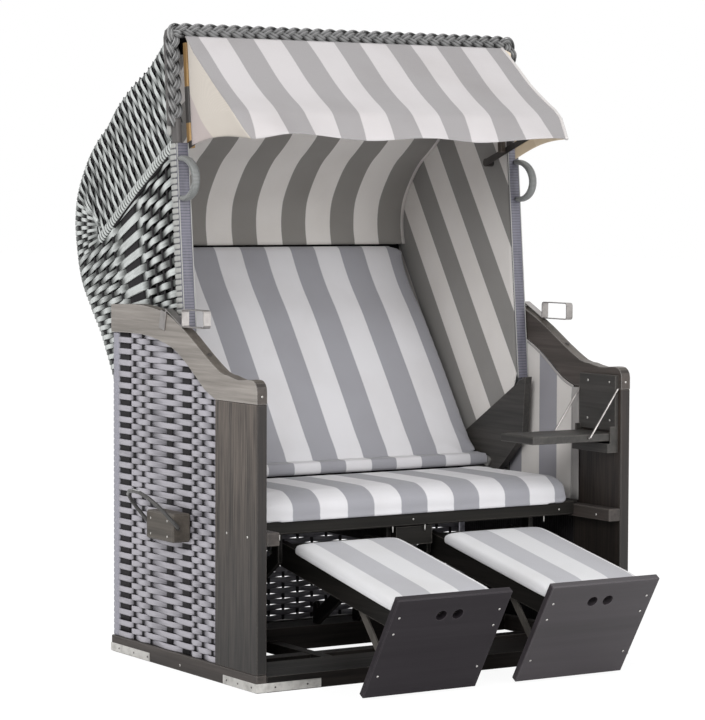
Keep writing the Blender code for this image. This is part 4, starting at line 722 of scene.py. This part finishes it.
# Pull loops
# A bent cane handle on each leg of the frame, wound with narrow strip.
loop_plastic = strip_plastic("wound handle strip", "#4E504F", "#8F9190", 0.4, 2.0)
for word, side in SIDES:
    a = np.linspace(math.pi / 2, 3 * math.pi / 2, 161)
    run = leaning(side * LEG_X, 0.061 * np.cos(a), 1.213 + 0.049 * np.sin(a)) - (0, 0.0118, 0)
    run = np.concatenate([run[:1] + (0, 0.0115, 0), run, run[-1:] + (0, 0.0115, 0)])
    waist = waists(len(run), 3)
    ring = sized(superellipse(10, 0.8, 0.0070, 0.0115), 1 - 0.12 * waist)
    # The tone drops in the groove between turns: painted shade
    loop = sweep(run, (side, 0, 0), ring, tone=(0.5 - waist)[None])
    loop = build("pull_loop_winding_" + word, [loop], [loop_plastic])
    fitted(loop, "hood", "wrapped_edge", "pull_loop_" + word)

# Inside the hoop's upper legs a lath shows: bare pine on the left, and on the right the same pine darkened
# as painted shade. A dark band covers each lath from 1.35 to 1.44 m
bare_pine = stained_pine("bare pine lath", 2, "#8A6B43", "#C8A26C", 0.6, 0.6, 120.0, (), "#D8BC8C")
shaded_pine_lath = stained_pine("pine lath in painted shade", 2, "#3A322C", "#5C5046", 0.6, 0.6, 120.0)
parts = []
for side, slot in ((-1, 0), (1, 2)):
    line = leaning(side * 0.4710, 0.0105, np.linspace(1.288, 1.548, 8))
    parts.append(sweep(line, OUT, superellipse(12, 0.3, 0.0078, 0.0085), slot=slot))
    line = leaning(side * 0.4710, 0.0100, np.linspace(1.350, 1.440, 4))
    parts.append(sweep(line, OUT, superellipse(12, 0.3, 0.0082, 0.0090), slot=1, tone=0.2))
lath = build("hood_inner_laths", parts, [bare_pine, plain_sleeve, shaded_pine_lath], smooth=False)
fitted(lath, "hood", "stained_wood")


# Lining of the hood
# Striped awning canvas, stretched smooth: one length over the head, one on each side with slanting stripes.
def canvas(name, light, grey, start, slant=None, period=0.1572):
    """Woven acrylic canvas: broad stripes, a fine cross weave, and a faint cloud of wear.

    Half of each period is light and half grey, counted from start across object x. With a slant the stripes
    run across y - slant * z instead.
    """
    made, tree, shader = surface(name, 0.85)
    shader.inputs["Sheen Weight"].default_value = 0.15
    where = add(tree, "TexCoord").outputs["Object"]
    x, y, z = add(tree, "SeparateXYZ", {0: where}).outputs
    base = x
    if slant is not None:
        base = add(tree, "Math", {0: z, 1: -slant, 2: y}, operation="MULTIPLY_ADD").outputs[0]
    # The stripes' edges waver a little
    waver = add(tree, "TexNoise", {"Vector": where, "Scale": 260.0, "Detail": 1.0}).outputs["Fac"]
    jitter = add(tree, "Math", {0: waver, 1: 0.0012, 2: -0.0006}, operation="MULTIPLY_ADD")
    shifted = add(tree, "Math", {0: base, 1: -start}, operation="ADD")
    shifted = add(tree, "Math", {0: shifted.outputs[0], 1: jitter.outputs[0]}, operation="ADD")
    share = add(tree, "Math", {0: shifted.outputs[0], 1: period}, operation="DIVIDE")
    share = add(tree, "Math", {0: share.outputs[0]}, operation="FRACT")
    stripe = add(tree, "ValToRGB", {"Fac": share.outputs[0]})
    marks = stripe.color_ramp.elements
    marks[0].color = srgb(light)
    marks[1].position = 0.498
    marks[1].color = srgb(light)
    for position, tint in ((0.508, grey), (0.992, grey), (1.0, light)):
        marks.new(position).color = srgb(tint)
    cloud = add(tree, "TexNoise", {"Vector": where, "Scale": 5.0, "Detail": 4.0}).outputs["Fac"]
    cloudy = add(tree, "MapRange", {"Value": cloud, "From Min": 0.45, "From Max": 0.85, "To Max": 0.22})
    soiled = add(tree, "Mix", {0: cloudy.outputs[0], 6: stripe.outputs[0], 7: srgb("#B9AFA6")},
                 data_type="RGBA", blend_type="MULTIPLY")
    # Threads are drawn 1.6 mm apart, about three times their real spacing, so that they show
    close = add(tree, "Mapping", {"Vector": where, "Scale": (600.0, 600.0, 600.0)}).outputs[0]
    warp, weft = (add(tree, "TexWave", {"Vector": close, "Scale": 1.0, "Distortion": 0.6, "Detail": 1.0},
                      bands_direction=axis).outputs["Fac"] for axis in "ZX")
    cross = add(tree, "Math", {0: warp, 1: weft}, operation="MULTIPLY").outputs[0]
    thin = add(tree, "MapRange", {"Value": cross, "To Min": 0.10, "To Max": 0.0})
    fleck = add(tree, "Mix", {0: thin.outputs[0], 6: soiled.outputs[2], 7: srgb("#8C8A8C")},
                data_type="RGBA", blend_type="MULTIPLY")
    rumple = add(tree, "TexNoise", {"Vector": where, "Scale": 9.0, "Detail": 2.0}).outputs["Fac"]
    soft = add(tree, "Bump", {"Height": rumple, "Strength": 0.25, "Distance": 0.006}).outputs[0]
    weave = add(tree, "Bump", {"Height": cross, "Strength": 0.2, "Distance": 0.0006, "Normal": soft})
    worn = add(tree, "MapRange", {"Value": cloud, "To Min": 0.75, "To Max": 0.93})
    feed(tree, shader, fleck.outputs[2], worn.outputs[0], weave.outputs[0])
    return made


def drape(points):
    """A grid of points as a sheet; its UV map holds metres along rows and columns."""
    n, m = points.shape[:2]
    number = np.arange(n * m).reshape(n, m)
    quads = np.stack([number[:-1, :-1], number[:-1, 1:], number[1:, 1:], number[1:, :-1]], -1).reshape(-1, 4)
    u = np.concatenate([np.zeros((n, 1)), np.cumsum(np.linalg.norm(np.diff(points, axis=1), axis=2), 1)], 1)
    v = np.concatenate([np.zeros((1, m)), np.cumsum(np.linalg.norm(np.diff(points, axis=0), axis=2), 0)], 0)
    uv = np.stack([u, v], -1).reshape(-1, 2)[quads]
    return points.reshape(-1, 3), quads, uv, np.full(n * m, 0.5), np.zeros(len(quads), int)


def applied(piece):
    """Applies every modifier of a piece."""
    bpy.context.view_layer.update()
    shape = bpy.data.meshes.new_from_object(piece.evaluated_get(bpy.context.evaluated_depsgraph_get()))
    piece.modifiers.clear()
    piece.data = shape
    return piece


def cloth(name, points, material, thickness):
    """A sheet of cloth through a grid of points, half of its thickness on each side."""
    piece = build(name, [drape(points)], [material])
    solid = piece.modifiers.new("cloth", "SOLIDIFY")
    solid.thickness = thickness
    solid.offset = 0
    return applied(piece)


hood_canvas = canvas("striped hood canvas", "#EAE6E2", "#8F8C88", 0.0200)
side_canvas = canvas("striped hood canvas on the slant", "#E8E4E0", "#8F8D8A", -0.015 + FRONT, 0.6336, 0.1825)

BEHIND_FRAME = 0.0312
inner_line = rim_line - 0.0470 * rim_normal
kept = (inner_line[:, 1] < 1.5655) & (inner_line[:, 1] > 1.0080)
kept &= inner_line[:, 0] > front_of_hood(inner_line[:, 1]) + BEHIND_FRAME
head_line, head_length = curve_through(inner_line[kept][::12], 70)
head = cloth("head_lining", at_x(np.linspace(-0.5015, 0.5015, 60), head_line[:, None]), hood_canvas, 0.0018)
fitted(head, "hood", "lining_cloth", "hood_lining")

# The side's front edge runs down behind the frame for LEG_SHARE of its rows, then back along a low line
LEG_SHARE = 0.62
share = np.linspace(0, 1, 90)
rear = point_on(rim_line - 0.0140 * rim_normal, share)
rear[:, 1] = np.maximum(rear[:, 1], 0.4915)
z = np.interp(share, [0, LEG_SHARE], [1.553, 0.700])
low = np.array([(0.4290, 0.700), (0.484, 0.547), (0.530, 0.5225), (0.597, 0.510), (0.655, 0.4915)])
low = np.stack([np.interp(share, np.linspace(LEG_SHARE, 1.0, 5), column) for column in low.T], -1)
front = np.where(share[:, None] > LEG_SHARE, low + (FRONT, 0),
                 np.stack([front_of_hood(z) + BEHIND_FRAME, z], -1))
grid = front[:, None] + (rear - front)[:, None] * np.linspace(0, 1, 40)[:, None]
for word, side in SIDES:
    cheek = cloth("hood_side_lining_" + word, at_x(side * 0.5026, grid), side_canvas, 0.0018)
    fitted(cheek, "hood", "lining_cloth")


# Cushions
# Foam cushions under tight striped canvas: a long one up the back, one on the seat, one on each footrest.
cushion_canvas = canvas("striped cushion canvas", "#DEDDE0", "#9D9DA3", 0.0265)


def rounded(points, radius, count=5):
    """A closed outline with its corners turned into short curves.

    A corner c between cut points a and b becomes (1-t)^2 a + 2t(1-t) c + t^2 b.
    """
    points = np.asarray(points, float)
    back = np.roll(points, 1, 0) - points
    ahead = np.roll(points, -1, 0) - points
    reach = np.minimum(radius, 0.45 * np.minimum(np.linalg.norm(back, axis=1), np.linalg.norm(ahead, axis=1)))
    a = points + unit(back) * reach[:, None]
    b = points + unit(ahead) * reach[:, None]
    t = np.linspace(0, 1, count)[None, :, None]
    curve = (1 - t) ** 2 * a[:, None] + 2 * t * (1 - t) * points[:, None] + t ** 2 * b[:, None]
    return curve.reshape(-1, 2)


def cushion_core(name, outline, half, draw_in):
    """A closed body with the outline from side to side; its ends are drawn in towards the outline's middle.

    At share s of the half width, the outline shrinks by draw_in * s^24.
    """
    s = np.sin(np.linspace(-math.pi / 2, math.pi / 2, 41))
    loops = outline - (outline - outline.mean(0)) * (draw_in * np.abs(s) ** 24)[:, None, None]
    points = at_x((s * half)[:, None], loops)
    n, m = points.shape[:2]
    number = np.arange(n * m).reshape(n, m)
    quads = np.stack([number[:-1], np.roll(number[:-1], -1, 1), np.roll(number[1:], -1, 1), number[1:]], -1)
    faces = quads.reshape(-1, 4).tolist() + [number[0].tolist(), number[-1][::-1].tolist()]
    return modelled(name, points, faces)


def places(piece):
    """Every vertex of a piece as an array."""
    at = np.empty(len(piece.data.vertices) * 3)
    piece.data.vertices.foreach_get("co", at)
    return at.reshape(-1, 3)


def stuffed(core, voxel, held, cap=0.005, steps=20):
    """Blows the cloth of a cushion out with simulated stuffing; held(at) picks what rests on a board.

    No point moves more than cap from where it began.
    """
    even = core.modifiers.new("even mesh", "REMESH")
    even.mode = "VOXEL"
    even.voxel_size = voxel
    applied(core)
    before = places(core)
    group = core.vertex_groups.new(name="resting")
    group.add(np.flatnonzero(held(before)).tolist(), 1.0, "REPLACE")
    stuffing = core.modifiers.new("stuffing", "CLOTH")
    stuffing.settings.quality = 4
    stuffing.settings.use_pressure = True
    stuffing.settings.uniform_pressure_force = 4.0
    stuffing.settings.tension_stiffness = 22
    stuffing.settings.compression_stiffness = 22
    stuffing.settings.bending_stiffness = 1.2
    stuffing.settings.vertex_group_mass = "resting"
    stuffing.settings.effector_weights.gravity = 0
    stuffing.point_cache.frame_start = 1
    stuffing.point_cache.frame_end = steps
    for step in range(1, steps + 1):
        bpy.context.scene.frame_set(step)
    applied(core)
    core.vertex_groups.clear()
    bpy.context.scene.frame_set(1)
    moved = places(core) - before
    far = np.linalg.norm(moved, axis=1, keepdims=True)
    after = before + moved * np.minimum(1, cap / np.maximum(far, 1e-9))
    core.data.vertices.foreach_set("co", after.ravel())
    return core


def finished(core, material):
    """Smooth shading, one subdivision, and the cushion's canvas."""
    core.data.materials.clear()
    core.data.materials.append(material)
    finer = core.modifiers.new("finer", "SUBSURF")
    finer.levels = 1
    finer.render_levels = 1
    applied(core)
    core.data.shade_smooth()


seat_outline = rounded([(0.0590, 0.3800), (0.0480, 0.3840), (0.0455, 0.4240), (0.0760, 0.4475),
                        (0.2000, 0.4490), (0.4300, 0.4480), (0.4350, 0.3880), (0.0610, 0.3880)], 0.026, 6)
seat_core = cushion_core("seat_cushion_cloth", seat_outline, 0.4630, 0.06)
seat_pad = stuffed(seat_core, 0.0075, lambda at: at[:, 2] < 0.3895)
at = places(seat_pad)
over_board = at[:, 1] > 0.0600
at[:, 2] = np.where(over_board, np.maximum(at[:, 2], 0.3866), at[:, 2])
# The stitched end seam pulls a shallow groove into the cloth
at[:, 2] -= 0.0016 * np.exp(-((np.abs(at[:, 0]) - 0.4500) / 0.0040) ** 2) * (at[:, 2] > 0.40)
seat_pad.data.vertices.foreach_set("co", at.ravel())
finished(seat_pad, cushion_canvas)
fitted(seat_pad, "seat", "cushion_cloth", "seat_cushion")

BACK_HALF = 0.4745
back_front = curve_through([(0.8790, 1.0240), (0.8660, 1.0370), (0.8480, 1.0080), (0.8260, 0.9690),
                            (0.7900, 0.9170), (0.7400, 0.8560), (0.6900, 0.7870), (0.6475, 0.7270),
                            (0.6020, 0.6620), (0.5560, 0.5940), (0.5130, 0.5310), (0.4660, 0.4740)], 46)[0]
back_rear = curve_through([(0.4860, 0.4640), (0.5300, 0.4660), (0.5750, 0.4900), (0.6461, 0.6138),
                           (0.6828, 0.6755), (0.7111, 0.7275), (0.7458, 0.7811), (0.7779, 0.8278),
                           (0.8063, 0.8626), (0.8337, 0.8918), (0.8600, 0.9239), (0.8780, 0.9572),
                           (0.8820, 0.9950)], 46)[0]
back_core = cushion_core("back_cushion_cloth", np.concatenate([back_front, back_rear]), BACK_HALF, 0.05)
board_y = np.array([0.4860, 0.5750, 0.6461, 0.7111, 0.7779, 0.8337, 0.8780, 0.8820])
board_z = np.array([0.4640, 0.4900, 0.6138, 0.7275, 0.8278, 0.8918, 0.9572, 1.0032])
back_pad = stuffed(back_core, 0.0082, lambda at: at[:, 2] < np.interp(at[:, 1], board_y, board_z) + 0.004)
finished(back_pad, cushion_canvas)
fitted(back_pad, "hood", "cushion_cloth", "back_cushion")

# A padded flap along the cushion's lower edge rests on the seat
flap = rounded([(0.4900, 0.4840), (0.4640, 0.4810), (0.4420, 0.4815), (0.4370, 0.4785), (0.4330, 0.4680),
                (0.4335, 0.4560), (0.4380, 0.4500), (0.4440, 0.4500), (0.4500, 0.4640), (0.4860, 0.4660)],
               0.006, 4)
flap_pad = cushion_core("back_cushion_flap", flap, BACK_HALF, 0.10)
flap_pad.data.materials.append(cushion_canvas)
flap_pad.data.shade_smooth()
fitted(flap_pad, "hood", "cushion_cloth")

# Each footrest has a thin pad, crowned in the middle and drawn in along its edges
REST_TILT = math.radians(11.33)
PAD_GRID = (61, 81)
on_rest = np.array([0.0, math.cos(REST_TILT), math.sin(REST_TILT)])
off_rest = np.array([0.0, -on_rest[2], on_rest[1]])
a = np.linspace(-1, 1, PAD_GRID[0])[:, None]
b = np.linspace(-1, 1, PAD_GRID[1])
crown = 0.0140 * ((1 - np.abs(a) ** 9) * (1 - np.abs(b) ** 12)) ** 0.5
for word, middle, start in (("left", -0.218, 0.0665), ("right", 0.218, 0.0310)):
    striped = canvas("striped footrest canvas " + word, "#E4E4E6", "#BCBCC1", start)
    top = np.array([middle, -0.1723, 0.2646]) \
        + (0.1488 * a * (1 - 0.015 * np.abs(b) ** 10))[..., None] * (1, 0, 0) \
        + ((0.2200 * b + 0.0040) * (1 - 0.006 * np.abs(a) ** 8))[..., None] * on_rest \
        + (0.0150 + crown)[..., None] * off_rest
    under = top - (0.0185 + crown)[..., None] * off_rest
    number = np.arange(crown.size).reshape(PAD_GRID)
    quads = np.stack([number[:-1, :-1], number[1:, :-1], number[1:, 1:], number[:-1, 1:]], -1).reshape(-1, 4)
    ring = np.concatenate([number[:, 0], number[-1, 1:], number[-2::-1, -1], number[0, -2:0:-1]])
    wall = np.stack([np.roll(ring, -1), ring, ring + number.size, np.roll(ring, -1) + number.size], -1)
    faces = np.concatenate([quads, quads[:, ::-1] + number.size, wall])
    pad = modelled("footrest_pad_" + word, np.stack([top, under]), faces.tolist())
    finished(pad, striped)
    fitted(pad, "footrest_" + word, "cushion_cloth", "footrest_cushion_" + word)


# Awning
# One sheet runs from the plait over the bow and flares out in three soft waves; a gusset closes each side.
awning_canvas = canvas("striped awning canvas", "#CFCBCC", "#A19E9F", 0.0180)
gusset_canvas = canvas("striped gusset canvas", "#D0C8BE", "#BDB1AE", -1.187 + FRONT, 1.0, 0.40)

slope = [(0.4560, 1.5625), (0.4000, 1.5185), (0.3300, 1.4595), (0.2720, 1.4170), (0.2320, 1.3915),
         (0.2085, 1.3745)]
low_hem = curve_through(slope + [(0.1955, 1.3550), (0.1830, 1.3320), (0.1720, 1.3060)], 56)[0]
high_hem = curve_through(slope + [(0.1905, 1.3580), (0.1680, 1.3380), (0.1490, 1.3200)], 56)[0]
COLUMNS = 150
u = np.linspace(0, 1, COLUMNS)
along = -0.4655 + 0.9395 * u
turns = np.interp(along, [-0.4655, -0.36, -0.115, 0.05, 0.205, 0.44, 0.474], [0, 1, 2, 3, 4, 5, 5.25])
height = np.interp(along, [-0.20, -0.05, 0.05, 0.15, 0.25], [1.0, 0.7, 0.6, 0.7, 1.0])
wave = (1 - np.cos(math.pi * turns)) / 2 * height
hem = low_hem + (high_hem - low_hem) * wave[:, None, None]
rows = np.linspace(0, 1, 56)
left_edge = np.interp(rows, [0, 0.18, 0.42, 0.60, 0.80, 0.86, 0.93, 1],
                      [-0.4905, -0.4985, -0.4948, -0.4962, -0.5005, -0.4933, -0.4828, -0.4665])
right_edge = np.interp(rows, [0, 0.42, 0.70, 0.80, 1], [0.4650, 0.4690, 0.4790, 0.4760, 0.4560])
x = left_edge + (right_edge - left_edge) * u[:, None]
# Between its waves the slope sags a little, and dips where it meets the bow
dip = 0.004 * np.sin(math.pi * rows / 0.72) * (rows < 0.72) * (0.4 + 0.6 * np.cos(2 * math.pi * x / 0.31))
grid = xyz(x, hem[..., 0] + FRONT, hem[..., 1] - dip)
cover = cloth("awning_sheet", grid, awning_canvas, 0.0014)
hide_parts("awning_cloth")
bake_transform(cover)
# Its right edge is rolled over a cord
hem_cloth = canvas("pale rolled edge", "#D6D2D0", "#D6D2D0", 0.0)
roll = sweep(grid[-1], (0, -0.5, 0.8), superellipse(8, 1.0, 0.0050, 0.0040))
roll = build("awning_rolled_edge", [roll], [hem_cloth])
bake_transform(roll)
# The right gusset hangs lower; its canvas is a lighter copy with a faint glow, painted light for the sun that
# shines through it
painted_sunlit_canvas = canvas("gusset canvas with painted sunlight", "#D3C8B8", "#C4B7A6", -1.187 + FRONT, 1.0, 0.40)
glow = painted_sunlit_canvas.node_tree.nodes["Principled BSDF"]
glow.inputs["Emission Color"].default_value = srgb("#C2AC8A")
glow.inputs["Emission Strength"].default_value = 0.30
t = np.linspace(0, 1, 28)[:, None]
for word, side, edge, fall, striped in (("left", -1, grid[0], 0.262, gusset_canvas),
                                        ("right", 1, grid[-1], 0.286, painted_sunlit_canvas)):
    leg = leaning(side * 0.4885, -0.0260, 1.556 - fall * rows)
    leg[0] = edge[0]
    patch = edge + (leg - edge) * t[..., None]
    # The lower edge is drawn up in a shallow curve, and the cloth bellies out slightly
    patch[..., 2] += 0.013 * rows ** 3 * np.sin(math.pi * t)
    patch[..., 0] += side * 0.004 * np.sin(math.pi * t) * rows
    gusset = cloth("awning_gusset_" + word, patch, striped, 0.0012)
    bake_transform(gusset)


# Canvas inside the basket's sides
# Stripes stand upright; a narrow tape covers the front and top edges.
basket_canvas = canvas("striped basket canvas", "#DAD6D2", "#96959B", 0.1935 + FRONT, 0.0, 0.1567)
edge_tape = canvas("edge tape", "#A19E9C", "#A19E9C", 0.0)
LINING_FOOT = 0.3790
y = np.linspace(0.2015, 0.4840, 60)
roof = arm_foot(y) - 0.0012
top = float(roof.max())
z = LINING_FOOT + (roof - LINING_FOOT) * np.linspace(0, 1, 60)[:, None]
for word, side in SIDES:
    inner = cloth("basket_lining_" + word, xyz(side * 0.5206, y + FRONT, z), basket_canvas, 0.0016)
    fitted(inner, "base", "lining_cloth", "side_lining_" + word)
    over = xyz(side * 0.5185, y + FRONT, roof - 0.0030)
    rise = xyz(side * 0.5185, 0.2040 + FRONT, np.linspace(0.380, over[0, 2], 12))
    cord = sweep(np.concatenate([rise[:-1], over]), (side, 0, 0), superellipse(8, 0.9, 0.0028, 0.0016))
    # The lining's front edge is turned over the front board and bound with a grey tape
    band = xyz(side * 0.5194, 0.18825 + FRONT, np.linspace(0.385, roof[0] - 0.004, 12))
    band = sweep(band, (side, 0, 0), superellipse(8, 0.3, 0.0137, 0.0008))
    fitted(build("basket_piping_" + word, [cord, band], [edge_tape]), "base", "lining_cloth")


# Boards
# Stained pine: pale grey arms, streaky front boards, dark boards elsewhere, worn through along the edges.
# Faces turned from the light and the boards inside the chair are darkened as painted shade.
TOWARDS_FRONT = (0.0, -1.0, 0.0)
for word, side in SIDES:
    inside = (-side, 0.0, 0.0)
    # Painted shade: the arm's inner, upper and front faces are darkened more than its outer face
    arm_pine = stained_pine("pale stained arm board " + word, 1, "#77736E", "#A9A49F", 0.55, 0.5, 120.0,
                            [(inside, "#7E7774"), ((0.0, -0.35, 0.94), "#A8A39E"), (TOWARDS_FRONT, "#7C7470"),
                             ((side, 0.0, 0.0), "#F4F1EF")], "#DAD8D4")
    dress(arm_pine, "arm_rail_" + word)
    # Painted shade: the front board's inner and front faces are darkened; its colour also falls towards the
    # bottom
    post_pine = stained_pine("streaky stained front board " + word, 2, "#1F1A18", "#6A6058", 0.5, 0.35, 210.0,
                             [(inside, "#A09A97"), (TOWARDS_FRONT, "#6E625E")], "#8A837D", (0.10, 0.62, 0.26))
    dress(post_pine, "front_board_" + word)
dress(stained_pine("stained block", 1, "#3A352F", "#5C554D", 0.55), "carry_block_left", "carry_block_right")


def board(name, along, deep, pale, *nodes):
    """A planed board's stained pine, put on its CAD nodes."""
    made = stained_pine(name, along, deep, pale, 0.5, 0.5, 130.0)
    dress(made, *nodes)
    return made


WORDS = ("left", "right")
# The seat's boards and the footrest slides are stained dark and darkened further as painted shade
seat_board_painted_shade = board("seat board in painted shade", 0, "#11100F", "#24221F", "seat_rail", "seat_board", "seat_bearer",
                    "backrest_board")
board("dark cheek board", 1, "#252422", "#413E3B", "cheek_board_left", "cheek_board_right", "tray_board",
      "tray_bracket")
slide_board_painted_shade = board("slide board in painted shade", 1, "#100F0E", "#201E1C", "footrest_frame_left", "footrest_frame_right",
                   *(f"footrest_guide_{a}_{b}" for a in WORDS for b in ("inner", "outer")))
board("grey brown brace", 2, "#3B3835", "#5B5752", *(f"footrest_brace_{a}_{b}" for a in WORDS for b in WORDS))
# The footrests' front boards carry a smoother satin coat, slightly violet in the light
coated = stained_pine("satin coated front board", 0, "#322E31", "#3D383C", 0.38, 0.7, 60.0, (), "#7B767A")
dress(coated, "footrest_panel_right")
# The left board is a darker copy of the same coat: painted shade
shaded_coat_left = stained_pine("satin coated front board, left, in painted shade", 0, "#242024", "#2D292D", 0.38, 0.7, 60.0, (),
                           "#6B666A")
dress(shaded_coat_left, "footrest_panel_left")
# Boards in the chair's shade and the dark stakes are matt, so that they stay dark under the white room
for matt in (shaded_batten_x, seat_board_painted_shade, slide_board_painted_shade, shaded_coat_left, stake_and_shade_plastic):
    matt.node_tree.nodes["Principled BSDF"].inputs["Specular IOR Level"].default_value = 0.15


# Fittings
# Galvanised and stainless steel, black rubber on the carry bails, black painted bow.
def steel(name, colour, roughness, grain=900.0, metallic=1.0):
    """Metal with fine mottling in its roughness and colour and a slight hammered bump."""
    made, tree, shader = surface(name, roughness, metallic)
    where = add(tree, "TexCoord").outputs["Object"]
    mottle = add(tree, "TexNoise", {"Vector": where, "Scale": grain, "Detail": 3.0}).outputs["Fac"]
    cloud = add(tree, "TexNoise", {"Vector": where, "Scale": 45.0, "Detail": 4.0}).outputs["Fac"]
    worn = add(tree, "MapRange", {"Value": cloud, "To Min": roughness - 0.08, "To Max": roughness + 0.18})
    share = add(tree, "MapRange", {"Value": cloud, "From Min": 0.45, "From Max": 0.8, "To Max": 0.5})
    tint = add(tree, "Mix", {0: share.outputs[0], 6: srgb(colour), 7: srgb("#8A8885")},
               data_type="RGBA", blend_type="MULTIPLY")
    bump = add(tree, "Bump", {"Height": mottle, "Strength": 0.15, "Distance": 0.0003})
    feed(tree, shader, tint.outputs[2], worn.outputs[0], bump.outputs[0])
    return made


zinc = steel("zinc plated steel", "#D8D6D2", 0.38)
dress(zinc, "hood_hinge_left", "hood_hinge_right", "footrest_bar_left", "footrest_bar_right")
stainless = steel("stainless steel", "#A5A19F", 0.28)
dress(stainless, "latch_saddle_left", "latch_saddle_right")
dress(stainless, "latch_lever_left", "latch_lever_right", "tray_stays")
painted = steel("black painted steel", "#3A3634", 0.45, 600.0, 0.0)
dress(painted, "awning_bow")
rubber = steel("glossy black rubber", "#4A4948", 0.2, 300.0, 0.0)
dress(rubber, "carry_bail_left", "carry_bail_right")


def screw(place, outward, radius=0.0026, slot=0):
    """A low domed head, looking outward, with a dark disc on its crown: painted shade for its recess."""
    place, outward = np.asarray(place, float), unit(np.asarray(outward, float))
    upright = (0, 0, 1) if abs(outward[2]) < 0.9 else (0, 1, 0)
    angle = np.linspace(0, math.pi / 2, 7)
    stem = place + outward * (np.sin(angle) * radius * 0.5 - 0.0003)[:, None]
    recess_shade_place = place + outward * np.array([radius * 0.40, radius * 0.51, radius * 0.52])[:, None]
    head = sized(superellipse(14, 1.0, 1.0, 1.0), np.cos(angle) * radius + 1e-5)
    recess_shade = sized(superellipse(6, 1.0, 1.0, 1.0), np.array([0.34, 0.34, 0.001]) * radius)
    return [sweep(stem, upright, head, slot=slot), sweep(recess_shade_place, upright, recess_shade, slot=1)]


screws = {"base": [], "seat": [], "footrest_left": [], "footrest_right": []}
for word, side in SIDES:
    out = (side, 0, 0)
    for y, z, radius in ((0.053, 0.366, 0.0030), (-0.0455, 0.366, 0.0030), (0.285, 0.014, 0.0032)):
        screws["base"] += screw((side * 0.55, y, z), out, radius)
    for y in (0.262, 0.347):
        for z in (0.338, 0.3765):
            screws["base"] += screw((side * 0.5983, y, z), out, 0.0029)
    screws["base"] += screw((side * 0.487, -0.034, 0.3595), (-side, 0, 0), 0.0030)
    screws["base"] += screw((side * 0.536, -0.09, 0.700), (0, -1, 0), 0.0028)
    screws["seat"] += screw((side * 0.4399, 0.06, 0.366), (0, -1, 0))
    for beyond in (-0.140, 0.140):
        for down in (0.052, 0.100, 0.226):
            place = (side * 0.218 + beyond, -0.4362 + 0.5237 * down, 0.2499 - 0.8520 * down)
            screws["footrest_" + word] += screw(place, (0, -0.852, -0.5237), 0.0030)
screws["seat"] += screw((-0.0105, 0.06, 0.367), (0, -1, 0))
for y, z in ((0.0377, 0.6994), (-0.0518, 0.6988), (0.0386, 0.6021), (-0.0547, 0.6010)):
    screws["base"] += screw((0.5119, y, z), (-1, 0, 0), 0.0034)
for body, parts in screws.items():
    fitted(build("screws_" + body, parts, [zinc, painted]), body, "zinc_plated_steel")

# Galvanised angle strips guard the basket's four lower corners
STRIP_Z = 0.0122
parts = []
dark_heads = []
for side in (-1, 1):
    for x1, y1, x2, y2, out in ((0.5506, -0.0908, 0.5506, 0.0685, (side, 0, 0)),
                                (0.5506, 0.441, 0.5506, 0.6508, (side, 0, 0)),
                                (0.5512, -0.0906, 0.372, -0.0906, (0, -1, 0)),
                                (0.5512, 0.6506, 0.372, 0.6506, (0, 1, 0))):
        line = evenly([(side * x1, y1, STRIP_Z), (side * x2, y2, STRIP_Z)], 24)[0]
        parts.append(sweep(line, (0, 0, 1), superellipse(8, 0.35, 0.0007, 0.0108), tone=0.6))
    for y in (-0.068, -0.003, 0.051, 0.4525, 0.5257, 0.6057):
        dark_heads += screw((side * 0.5513, y, 0.0118), (side, 0, 0), slot=1)
    for y, out in ((-0.0913, -1), (0.6513, 1)):
        for x in (0.4992, 0.4100):
            dark_heads += screw((side * x, y, 0.0118), (0, out, 0), slot=1)
strips = build("corner_strips", parts + dark_heads, [zinc, painted], smooth=False)
fitted(strips, "base", "zinc_plated_steel")

# A plugged hole in each arm's slope, and steel eyes under the seat's rail
plugs = [screw((side * 0.536, 0.160, 0.7868), (0, -0.49, 0.87), 0.0062, 1)[0] for side in (-1, 1)]
fitted(build("arm_plugs", plugs, [zinc, painted]), "base", "black_steel")
eyes = [sweep(xyz(x, 0.066, np.linspace(0.3525, 0.3360, 6)), (0, 1, 0), superellipse(8, 1.0, 0.0016, 0.0016))
        for x in (-0.3953, -0.0682, 0.0277, 0.3953)]
fitted(build("rail_eyes", eyes, [zinc]), "seat", "zinc_plated_steel")
